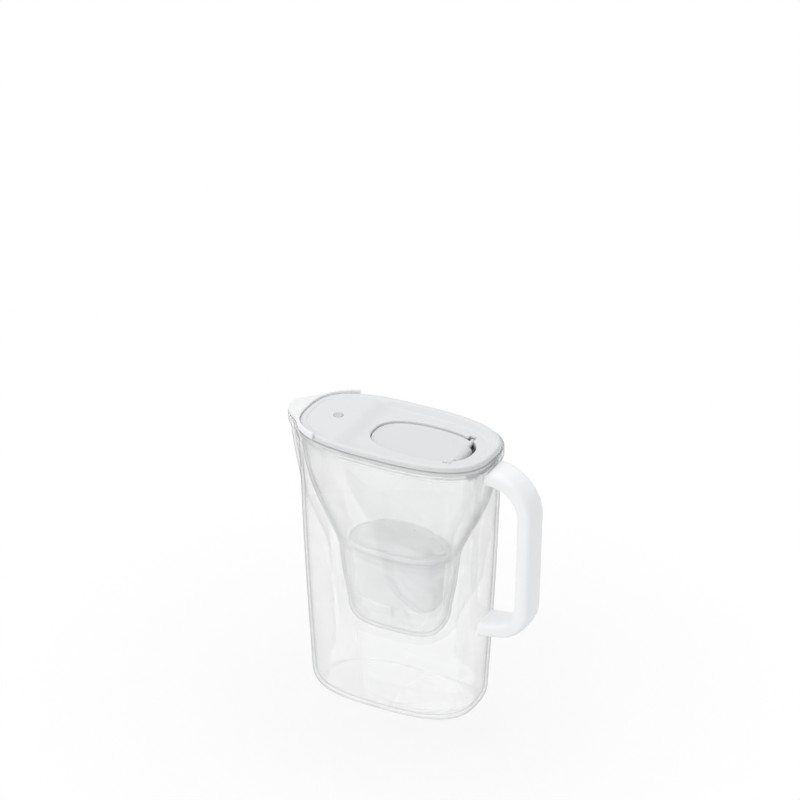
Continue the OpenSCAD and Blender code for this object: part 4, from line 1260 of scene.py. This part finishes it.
class LidLevels:
    """The heights and outlines that the lid, the flap and the spout cover share."""

    def __init__(self, s):
        self.s = s
        self.plate = s.top_z - s.dish
        self.under = self.plate - s.wall
        self.front = s.top_z - s.front
        self.front_under = self.front - s.wall
        self.flap_top = self.plate - s.flap_sink
        self.flap_low = self.flap_top - s.flap_thickness
        self.ledge = self.flap_low - mm(0.3)
        self.collar_low = self.ledge - mm(4.6)
        self.flap_a, self.flap_b = s.flap_length / 2, s.flap_width / 2
        self.hinge_x = s.flap_x + self.flap_a - mm(12.5)
        self.knuckle = mm(2.4)
        self.hinge_z = FLAP_TOP.z - self.knuckle
        self.pocket_x = self.hinge_x - mm(6)
        self.pocket_z = self.plate - s.pocket
        self.rise_start = self.flap_a - s.flap_x + mm(1)
        case = -CASE_LOW.x + CASE_TOP.x
        self.indicator_x = -(CASE_LOW.x + CASE_TOP.x) / 2
        self.rise_run = self.indicator_x - case / 2 - mm(0.3) - self.rise_start

    def ring(self, inset, z, lift=0.0):
        return station(self.s.half_length - inset, self.s.half_width - inset, z, lift=lift)

    def flap_ring(self, grow, z, lift=0.0):
        return station(self.flap_a + grow, self.flap_b + grow, z, FLAP_SQUARENESS, x=self.s.flap_x, lift=lift)

    def flap_middle(self, z):
        return station(0, 0, z, FLAP_SQUARENESS, x=self.s.flap_x)

    def hinge_rod(self, name, radius, first, last, material, chamfer=0.0):
        """A rod on the hinge line of the flap."""
        ends = ((self.hinge_x, y, self.hinge_z) for y in (first, last))
        return rod(name, radius, *ends, material, chamfer)


def rear_part(left, material):
    """A block that takes in everything behind a place on the x axis."""
    return block("rear", (left, -mm(60), 0), (mm(120), mm(60), mm(400)), material)


def build_lid(s):
    v = LidLevels(s)
    material = MATERIALS["lid"]
    crest, slope_end = mm(4.2), mm(10.4)
    outside = [
        (v.ring(0, s.low_z), mm(0.4)),
        (v.ring(0, s.top_z), mm(2.0)),
        (v.ring(crest, s.top_z), 0),
    ]
    slope = []
    for i in range(1, 15):
        inset = lerp(crest, slope_end, i / 14)
        z = s.top_z - s.dish * ease(i / 14)
        slope.append((v.ring(inset, z, (v.front - z) * ease((inset - crest) / mm(3))), 0))
    edge = v.flap_ring(0, v.plate, v.front - v.plate)
    plate = [(row, 0) for row in between(slope[-1][0], v.flap_ring(mm(1.4), v.plate, v.front - v.plate), 20)]
    recess = [
        (edge, mm(1.0)),
        (v.flap_ring(0, v.ledge), mm(0.5)),
        (v.flap_ring(-mm(3), v.ledge), mm(0.5)),
        (v.flap_ring(-mm(3), v.collar_low), mm(0.5)),
        (v.flap_ring(mm(1.8), v.collar_low), mm(0.6)),
        (v.flap_ring(mm(1.8), v.under, v.front_under - v.under), mm(0.5)),
    ]
    low_edge = v.ring(slope_end + mm(1.2), v.under, v.front_under - v.under)
    collar_edge = v.flap_ring(mm(2.6), v.under, v.front_under - v.under)
    below = [(row, 0) for row in between(collar_edge, low_edge, 16)]
    crest_low = s.top_z - s.wall - mm(0.6)
    inside = [
        (low_edge, 0),
        (v.ring(slope_end - mm(1), v.under + mm(1), v.front_under - v.under - mm(1)), mm(0.8)),
        (v.ring(crest + mm(3), crest_low, v.front_under - s.top_z + s.wall + mm(0.6)), mm(1)),
        (v.ring(s.wall, s.top_z - s.wall - mm(0.4)), mm(0.8)),
        (v.ring(s.wall, s.low_z), mm(0.4)),
    ]
    rows = filleted(outside + slope + plate + recess + below + inside, closed=True)
    inputs = {"rise_start": v.rise_start, "rise_run": v.rise_run}
    plate_piece = oval_piece("plate", rows, material, 256, **inputs)

    def room(low, corner, left):
        """The room inside the outline of the flap, above a height and behind a place."""
        rows = filleted(
            [
                (v.flap_middle(low), 0),
                (v.flap_ring(-mm(0.03), low), corner),
                (v.flap_ring(-mm(0.03), v.plate + mm(1)), 0),
                (v.flap_middle(v.plate + mm(1)), 0),
            ]
        )
        return combine(mend(oval_piece("room", rows, material, 256)), "INTERSECT", rear_part(left, material))

    def by_hinge(name, reach, near, far, top, bevel=0.0):
        """Two blocks round the hinge line, one on each side of the flap."""
        made = []
        for side in (-1, 1):
            left, right = sorted((side * near, side * far))
            low = (v.hinge_x - reach, left, v.hinge_z - reach)
            made.append(block(name, low, (v.hinge_x + reach, right, top), material, bevel))
        return made

    notches = by_hinge("notch", mm(3.6), mm(15), mm(26), v.plate + mm(1.5))
    bores = [v.hinge_rod("bore", mm(1.35), side * mm(20), side * mm(30), material) for side in (-1, 1)]
    button_axis = (-v.indicator_x, 0, v.front_under), (0, 0, 1)
    narrow = [(mm(4.3), -RECESS - mm(1)), (mm(4.3), s.wall - mm(0.5))]
    wide = [(mm(4.8), s.wall + mm(0.02)), (mm(4.8), s.wall + mm(2))]
    hole = turned("hole", narrow + wide, *button_axis, material)
    tub_rows = filleted(
        [
            (v.flap_middle(v.pocket_z - mm(1.8)), 0),
            (v.flap_ring(mm(1.8), v.pocket_z - mm(1.8)), mm(3)),
            (v.flap_ring(mm(1.8), v.under + mm(0.3)), 0),
            (v.flap_middle(v.under + mm(0.3)), 0),
        ]
    )
    tub = mend(oval_piece("tub", tub_rows, material, 256))
    combine(tub, "INTERSECT", rear_part(v.pocket_x - mm(1.8), material))
    cheeks = by_hinge("cheek", mm(5.4), mm(17), mm(27.8), v.under + mm(0.3), mm(0.5))
    parts = []
    for part in (plate_piece, tub, *cheeks):
        combine(part, "DIFFERENCE", *[copy_of(n) for n in notches], room(v.pocket_z, mm(2.5), v.pocket_x))
        parts.append(part)
    for part in parts[1:]:
        combine(part, "DIFFERENCE", room(v.ledge, 0, 0))
    for bore in bores:
        for part in parts[2:4]:
            combine(part, "DIFFERENCE", copy_of(bore))
    rim = [(mm(5.3), -RECESS), (mm(5.7), -RECESS + mm(0.4)), (mm(5.7), mm(0.8))]
    collar = turned("collar", rim, *button_axis, material)
    combine(collar, "DIFFERENCE", copy_of(hole))
    parts.append(collar)
    combine(parts[0], "DIFFERENCE", hole)
    for spare in (*notches, *bores):
        bpy.data.objects.remove(spare)

    # Tongues at the rear that reach down inside the hopper rim
    wall_top, half = jug_levels(bpy.context.scene.pitcher_jug)
    tongue_a, tongue_b = (h - bpy.context.scene.pitcher_hopper.wall - mm(0.6) for h in half(wall_top, -mm(3)))
    tongue_low = HOPPER_TOP.z - mm(8)
    for middle in (-19, -19 / 3, 19 / 3, 19):
        spots = np.linspace(mm(middle - 5.5), mm(middle + 5.5), 9)

        def band(inset, ys):
            a, b = tongue_a - inset, tongue_b - inset
            return [(a * (1 - (abs(y) / b) ** PLAN_SQUARENESS) ** (1 / PLAN_SQUARENESS), y) for y in ys]

        outline = band(0, spots) + band(mm(1.8), spots[::-1])
        centre = np.mean(outline, axis=0)
        levels = [(0.86, tongue_low), (1.0, tongue_low + mm(1)), (1.0, s.top_z - s.wall - mm(0.2))]
        rings = [[(*lerp(centre, np.array(p), share), z) for p in outline] for share, z in levels]
        parts.append(skin("tongue", rings, material))

    # Socket that holds the indicator
    clear, thick, drop = mm(0.3), mm(1.5), mm(5)
    profile = filleted(
        [
            (station(clear, 0, v.front_under - drop), mm(0.5)),
            (station(clear + thick, 0, v.front_under - drop), mm(0.5)),
            (station(clear + thick, 0, v.front_under + mm(0.8)), 0),
            (station(clear, 0, v.front_under + mm(0.8)), 0),
        ],
        closed=True,
    )[:-1]
    parts.append(skin("socket", [indicator_ring(r[HALF_X], r[Z]) for r in profile], material, closed=True))
    lid = joined("lid", parts, material)
    return finished(lid, "lid_dished_shell", "lid", ["lid_shell"], 34)


def build_flap(s):
    v = LidLevels(s)
    material = MATERIALS["flap"]
    rows = filleted(
        [
            (v.flap_middle(v.flap_low), 0),
            (v.flap_ring(-mm(0.8), v.flap_low), mm(0.5)),
            (v.flap_ring(-mm(0.8), v.flap_top), mm(0.8)),
            (v.flap_ring(-mm(2.6), v.flap_top), mm(0.4)),
            (v.flap_ring(-mm(3.2), v.flap_top - mm(0.25)), mm(0.4)),
            (v.flap_middle(v.flap_top - mm(0.25)), 0),
        ]
    )
    plate = mend(oval_piece("flap", rows, material, 224))
    combine(plate, "DIFFERENCE", rear_part(v.hinge_x, material))
    barrel = v.hinge_rod("barrel", v.knuckle, -mm(25.4), mm(25.4), material, mm(0.4))
    pin = v.hinge_rod("pin", mm(1.3), -mm(27.5), mm(27.5), material, mm(0.3))
    rings = []
    tab_t, steps = mm(1.6), 14
    half_w = mm(12.5)
    for i in range(steps + 1):
        t = math.radians(s.tab_turn * i / steps)
        trim = mm(1.6) * (i / steps) ** 4
        middle = Vector((v.hinge_x, 0, v.flap_top - s.tab_radius))
        out = Vector((math.sin(t), 0, math.cos(t)))
        outline = []
        for c, w in circle(1, 28):
            r = (abs(c) ** 4 + abs(w) ** 4) ** -0.25
            reach = s.tab_radius - tab_t / 2 + tab_t / 2 * r * w
            outline.append(middle + out * reach + Vector((0, (half_w - trim) * r * c, 0)))
        rings.append(outline)
    tab = skin("tab", rings, material)
    flap = joined("flap", [plate, barrel, pin, tab], material)
    return finished(flap, "flip_flap", "flap", ["fill_flap"], 34)


# ---------- Spout cover ----------


def build_visor(jug, lid):
    material = MATERIALS["visor"]
    gap, wall = mm(0.4), mm(1.5)
    low = jug.height + gap
    rear, tip = mm(6), mm(4.2)
    hinge_x = mm(62.5)
    axis_z = low + mm(1.5)
    tip_x = jug.rim_length / 2 + jug.spout_reach
    n = jug.squareness

    def arc(a, b, turn):
        c, w = math.cos(turn), math.sin(turn)
        r = (abs(c) ** n + abs(w) ** n) ** (-1 / n)
        return a * r * c, b * r * w

    def nose(x, y, trim):
        w = abs(y) / (jug.spout_half_width - trim)
        return (x - jug.spout_reach * (1 - w * w) ** 1.5, y) if x < 0 and w < 1 else (x, y)

    def roof(x, drop):
        return low - drop + lerp(rear, tip, clamp((-x - hinge_x) / (tip_x - hinge_x)))

    def crescent(name, spread, trim, floor_z, steps, bevel):
        rings = []
        for i in range(steps + 1):
            turn = math.radians(180 - spread + 2 * spread * i / steps)
            xi, yi = arc(lid.half_length + gap + trim, lid.half_width + gap + trim, turn)
            rim = arc(jug.rim_length / 2 - gap - trim, jug.rim_width / 2 - gap - trim, turn)
            xo, yo = nose(*rim, gap + trim)
            corners = [
                Vector((xo, yo, floor_z)),
                Vector((xo, yo, roof(xo, trim + mm(0.5)))),
                Vector((xi, yi, roof(xi, trim))),
                Vector((xi, yi, floor_z)),
            ]
            ring = []
            for k, corner in enumerate(corners):
                back, ahead = corners[k - 1] - corner, corners[(k + 1) % 4] - corner
                cut = min(bevel[k], 0.45 * back.length, 0.45 * ahead.length)
                start, end = corner + back.normalized() * cut, corner + ahead.normalized() * cut
                ring += [bend(start, corner, end, j / 4) for j in range(5)]
            rings.append(ring)
        return skin(name, rings, material)

    cover = crescent("cover", 52, 0, low, 120, (mm(0.2), mm(1.3), mm(0.9), mm(0.2)))
    hollow = crescent("hollow", 14, wall, low - mm(1), 40, (0, mm(0.4), mm(0.4), 0))
    combine(cover, "DIFFERENCE", hollow)
    end = block("end", (-hinge_x + mm(1.2), -mm(60), low - mm(1)), (mm(100), mm(60), low + mm(9)), material)
    combine(cover, "DIFFERENCE", end)
    corner = block("corner", (mm(1.5), -mm(60), -mm(60)), (mm(60), mm(60), mm(60)), material)
    turn = Matrix.Rotation(math.radians(45), 4, "Y")
    corner.data.transform(Matrix.Translation((-hinge_x, 0, axis_z)) @ turn)
    combine(cover, "DIFFERENCE", corner)
    stub_y = lid.half_width * (1 - (hinge_x / lid.half_length) ** n) ** (1 / n)
    stubs = []
    for side in (-1, 1):
        ends = ((-hinge_x, side * y, axis_z) for y in (stub_y - mm(1.8), stub_y + mm(1.6)))
        stubs.append(rod("stub", mm(1), *ends, material, mm(0.2)))
    cover = joined("cover", [cover, *stubs], material)
    return finished(cover, "spout_cover", "visor", ["spout_visor"], 36)


# ---------- Indicator ----------

CASE_RADIUS = (CASE_TOP.x - CASE_LOW.x) / 2
CASE_X = (CASE_TOP.x + CASE_LOW.x) / 2
CASE_FLAT = mm(13.9)
FLAT_TURN = math.radians(240)
RECESS = mm(1.8)


def indicator_ring(grow, z, count=144):
    """The round outline of the indicator with its one flat side."""
    ring = []
    for j in range(count):
        turn = math.tau * j / count
        facing = math.cos(turn - FLAT_TURN)
        reach = CASE_RADIUS + grow
        if facing * reach > CASE_FLAT + grow:
            reach = (CASE_FLAT + grow) / facing
        ring.append((CASE_X + reach * math.cos(turn), reach * math.sin(turn), z))
    return ring


def round_ring(radius, z, count=144):
    return [(CASE_X + x, y, z) for x, y in circle(radius, count)]


def build_indicator():
    material = MATERIALS["case"]
    wall, rim, low, top = mm(1.5), mm(1.4), CASE_LOW.z, CASE_TOP.z
    face, bore = top - RECESS, mm(4.05)
    outer = filleted([(station(0, 0, low), 0), (station(0, 0, top), mm(0.6)), (station(-rim / 2, 0, top), 0)])
    lip = [(station(-rim / 2, 0, top), 0), (station(-rim, 0, top), mm(0.4))]
    inner = filleted([*lip, (station(-rim, 0, face), mm(0.6)), (station(-mm(4), 0, face), 0)])
    rings = [indicator_ring(r[HALF_X], r[Z]) for r in outer + inner[1:]]
    hole = ((bore + mm(0.4), face), (bore, face - mm(0.3)), (bore, face - wall))
    rings += [round_ring(radius, z) for radius, z in hole]
    hollow = ((-wall - mm(4), face - wall), (-wall, face - wall), (-wall, low))
    rings += [indicator_ring(grow, z) for grow, z in hollow]
    case = skin("case", rings, material, closed=True)
    lens_low, lens_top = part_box("status_lenses")
    lens_y = (lens_low.y + lens_top.y) / 2
    for x in (lens_low.x + mm(0.8), lens_top.x - mm(0.8)):
        ends = ((x, lens_y, z) for z in (face - mm(3), face + mm(1)))
        window = rod("window", mm(0.81), *ends, material, count=40)
        combine(case, "DIFFERENCE", window)
    finished(case, "indicator_round_case", "indicator", ["indicator_case"])

    base_low = BASE_LOW.z
    foot, side = (station(-mm(2), 0, base_low), 0), (station(0, 0, low), 0)
    profile = filleted([foot, (station(0, 0, base_low), mm(0.9)), side])
    rings = [indicator_ring(r[HALF_X], r[Z]) for r in profile[1:]]
    inner = -wall - mm(0.9)
    spigot = ((inner, low), (inner, low + mm(3)), (inner - mm(1.2), low + mm(3)), (inner - mm(1.2), low))
    rings += [indicator_ring(grow, z) for grow, z in spigot]
    base = skin("base", rings, material)
    corners = (CASE_X - mm(6), -mm(1), base_low - mm(1)), (CASE_X + mm(6), mm(1), base_low + mm(0.8))
    slot = block("slot", *corners, material)
    combine(base, "DIFFERENCE", slot)
    finished(base, "indicator_turned_base", "indicator", ["indicator_base"])

    low, top = BUTTON_LOW.z, BUTTON_TOP.z
    radius, skirt_top = mm(4), CASE_TOP.z - RECESS - mm(1.6)
    profile = [(radius + mm(1.4), 0), (radius + mm(1.4), skirt_top - low), (radius, skirt_top - low)]
    for i in range(7):
        t = math.pi / 2 * i / 6
        profile.append((radius - mm(0.6) * (1 - math.cos(t)), top - low - mm(0.6) + mm(0.6) * math.sin(t)))
    dips = ((0.7, 0.12), (0.4, 0.25), (0.1, 0.3))
    profile += [(radius * share, top - low - mm(dip)) for share, dip in dips]
    button = turned("button", profile, (CASE_X, 0, low), (0, 0, 1), MATERIALS["button"], 96)
    finished(button, "indicator_push_button", "button", ["indicator_button"])


# ---------- Nodes that keep their own mesh ----------

KEPT = {
    "flange_seal": "seal",
    "base_gasket": "gasket",
    "circuit_board": "board",
    "coin_cell": "steel",
    "cell_clip": "brass",
    "tact_switch": "switch",
    "status_lenses": "lens",
}


def dress_kept_nodes():
    for node, finish in KEPT.items():
        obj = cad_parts[node]
        if not obj.material_slots:
            raise RuntimeError(f"{node} has no material slot")
        for holder in obj.material_slots:
            holder.material = MATERIALS[finish]


# ---------- Stage ----------

# Jug, hopper and shelf lie in front of one another. With the usual 8 the last of them turn black
SEE_THROUGH_FACES = 40


def seen_ray(m):
    path = m.node("ShaderNodeLightPath").outputs
    mirrored = m.math("MAXIMUM", path["Is Camera Ray"], path["Is Glossy Ray"])
    return m.math("MAXIMUM", mirrored, path["Is Transmission Ray"])


def build_floor():
    count, rings = 96, (0.3, 0.8, 2.0, 6.0)
    mesh = bpy.data.meshes.new("studio_floor")
    verts = [(0, 0, 0)] + [(x, y, 0) for r in rings for x, y in circle(r, count)]
    faces = [(0, 1 + j, 1 + (j + 1) % count) for j in range(count)]
    for k in range(len(rings) - 1):
        low, high = 1 + k * count, 1 + (k + 1) * count
        faces += [(low + j, high + j, high + (j + 1) % count, low + (j + 1) % count) for j in range(count)]
    mesh.from_pydata(verts, [], faces)
    m = Shader("Studio floor")
    grain = m.bump(m.noise(500.0), 0.02, 0.0005)
    paper = m.out("ShaderNodeBsdfDiffuse", {"Color": (0.82, 0.82, 0.82, 1), "Normal": grain})
    white = m.out("ShaderNodeEmission", {"Color": (1, 1, 1, 1), "Strength": 1.0})
    away = Field(m, m.node("ShaderNodeVectorMath", {"operation": "LENGTH"}, [m.place]).outputs["Value"])
    share = 0.75 + 0.25 * ((away - 0.1) / 0.25).clamped()
    mesh.materials.append(m.end(m.blend(seen_ray(m) * share, paper, white)))
    new_object("studio_floor", mesh)


def build_world():
    world = bpy.data.worlds.new("Studio")
    world.use_nodes = True
    world.node_tree.nodes.clear()
    m = Maker(world.node_tree)
    plain = m.out("ShaderNodeBackground", {"Color": (0.98, 0.99, 1.0, 1), "Strength": 0.80})
    white = m.out("ShaderNodeBackground", {"Color": (1, 1, 1, 1), "Strength": 1.0})
    mixed = m.out("ShaderNodeMixShader", [seen_ray(m), plain, white])
    m.node("ShaderNodeOutputWorld", None, {"Surface": mixed})
    bpy.context.scene.world = world


def softbox(name, place, target, size, watts):
    light = bpy.data.lights.new(name, "AREA")
    light.shape = "RECTANGLE"
    light.size, light.size_y = size
    light.energy = watts
    obj = new_object(name, light)
    obj.location = place
    obj.rotation_euler = (Vector(target) - Vector(place)).to_track_quat("-Z", "Y").to_euler()


def build_camera():
    turn, rise, distance = math.radians(27.5), math.radians(29.0), 4.272
    target = Vector((0, 0, 0.291))
    away = Vector((math.sin(turn) * math.cos(rise), -math.cos(turn) * math.cos(rise), math.sin(rise)))
    data = bpy.data.cameras.new("Studio camera")
    data.sensor_width, data.lens = 36.0, 225.0
    data.clip_start, data.clip_end = 0.1, 50.0
    obj = new_object("Studio camera", data)
    obj.location = target + away * distance
    obj.rotation_euler = (-away).to_track_quat("-Z", "Y").to_euler()
    bpy.context.scene.camera = obj


# ---------- Operators ----------


class PITCHER_OT_finishes(bpy.types.Operator):
    """Make the materials of the pitcher"""

    bl_idname = "pitcher.finishes"
    bl_label = "Finishes"

    def execute(self, context):
        make_materials(context.scene.pitcher_finishes)
        return {"FINISHED"}


class PITCHER_OT_jug(bpy.types.Operator):
    """Build the clear jug with its spout"""

    bl_idname = "pitcher.jug"
    bl_label = "Jug"

    def execute(self, context):
        build_jug(context.scene.pitcher_jug)
        return {"FINISHED"}


class PITCHER_OT_handle(bpy.types.Operator):
    """Build the frosted handle"""

    bl_idname = "pitcher.handle"
    bl_label = "Handle"

    def execute(self, context):
        build_handle(context.scene.pitcher_handle, context.scene.pitcher_jug)
        return {"FINISHED"}


class PITCHER_OT_hopper(bpy.types.Operator):
    """Build the clear hopper with its cartridge well"""

    bl_idname = "pitcher.hopper"
    bl_label = "Hopper"

    def execute(self, context):
        build_hopper(context.scene.pitcher_hopper, context.scene.pitcher_jug)
        return {"FINISHED"}


class PITCHER_OT_cartridge(bpy.types.Operator):
    """Build the filter cartridge, its screens and its granules"""

    bl_idname = "pitcher.cartridge"
    bl_label = "Cartridge"

    def execute(self, context):
        sizes = context.scene.pitcher_cartridge
        build_cup(sizes)
        build_cover(sizes)
        build_granules(sizes)
        build_screens()
        return {"FINISHED"}


class PITCHER_OT_lid(bpy.types.Operator):
    """Build the lid"""

    bl_idname = "pitcher.lid"
    bl_label = "Lid"

    def execute(self, context):
        build_lid(context.scene.pitcher_lid)
        return {"FINISHED"}


class PITCHER_OT_flap(bpy.types.Operator):
    """Build the flip flap with its thumb tab"""

    bl_idname = "pitcher.flap"
    bl_label = "Flip flap"

    def execute(self, context):
        build_flap(context.scene.pitcher_lid)
        return {"FINISHED"}


class PITCHER_OT_visor(bpy.types.Operator):
    """Build the spout cover"""

    bl_idname = "pitcher.visor"
    bl_label = "Spout cover"

    def execute(self, context):
        build_visor(context.scene.pitcher_jug, context.scene.pitcher_lid)
        return {"FINISHED"}


class PITCHER_OT_indicator(bpy.types.Operator):
    """Build the filter change indicator and dress its inner parts"""

    bl_idname = "pitcher.indicator"
    bl_label = "Indicator"

    def execute(self, context):
        build_indicator()
        dress_kept_nodes()
        return {"FINISHED"}


class PITCHER_OT_stage(bpy.types.Operator):
    """Build the floor, the lamps and the camera"""

    bl_idname = "pitcher.stage"
    bl_label = "Stage"

    def execute(self, context):
        build_floor()
        build_world()
        softbox("Top softbox", (-0.3, 0.3, 1.9), (0, 0, 0.15), (1.4, 1.4), 8.0)
        softbox("Front softbox", (-1.3, -2.0, 1.2), (0, 0, 0.15), (1.2, 1.4), 14.0)
        build_camera()
        context.scene.view_settings.view_transform = "Standard"
        context.scene.cycles.transparent_max_bounces = SEE_THROUGH_FACES
        return {"FINISHED"}


STEPS = (
    PITCHER_OT_finishes,
    PITCHER_OT_jug,
    PITCHER_OT_handle,
    PITCHER_OT_hopper,
    PITCHER_OT_cartridge,
    PITCHER_OT_lid,
    PITCHER_OT_flap,
    PITCHER_OT_visor,
    PITCHER_OT_indicator,
    PITCHER_OT_stage,
)
SIZE_GROUPS = {
    "pitcher_jug": JugSizes,
    "pitcher_handle": HandleSizes,
    "pitcher_hopper": HopperSizes,
    "pitcher_cartridge": CartridgeSizes,
    "pitcher_lid": LidSizes,
    "pitcher_finishes": Finishes,
}


class PITCHER_PT_panel(bpy.types.Panel):
    """Lists the steps that build the pitcher"""

    bl_label = "Pitcher"
    bl_idname = "PITCHER_PT_panel"
    bl_space_type = "VIEW_3D"
    bl_region_type = "UI"
    bl_category = "Pitcher"

    def draw(self, context):
        for step in STEPS:
            self.layout.operator(step.bl_idname)


def register():
    for group in SIZE_GROUPS.values():
        bpy.utils.register_class(group)
    for name, group in SIZE_GROUPS.items():
        setattr(bpy.types.Scene, name, PointerProperty(type=group))
    for step in STEPS:
        bpy.utils.register_class(step)
    bpy.utils.register_class(PITCHER_PT_panel)


def unregister():
    bpy.utils.unregister_class(PITCHER_PT_panel)
    for step in reversed(STEPS):
        bpy.utils.unregister_class(step)
    for name, group in SIZE_GROUPS.items():
        delattr(bpy.types.Scene, name)
        bpy.utils.unregister_class(group)


def main():
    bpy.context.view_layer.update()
    register()
    bpy.ops.pitcher.finishes()
    bpy.ops.pitcher.jug()
    bpy.ops.pitcher.handle()
    bpy.ops.pitcher.hopper()
    bpy.ops.pitcher.cartridge()
    bpy.ops.pitcher.lid()
    bpy.ops.pitcher.flap()
    bpy.ops.pitcher.visor()
    bpy.ops.pitcher.indicator()
    bpy.ops.pitcher.stage()


if __name__ == "__main__":
    main()
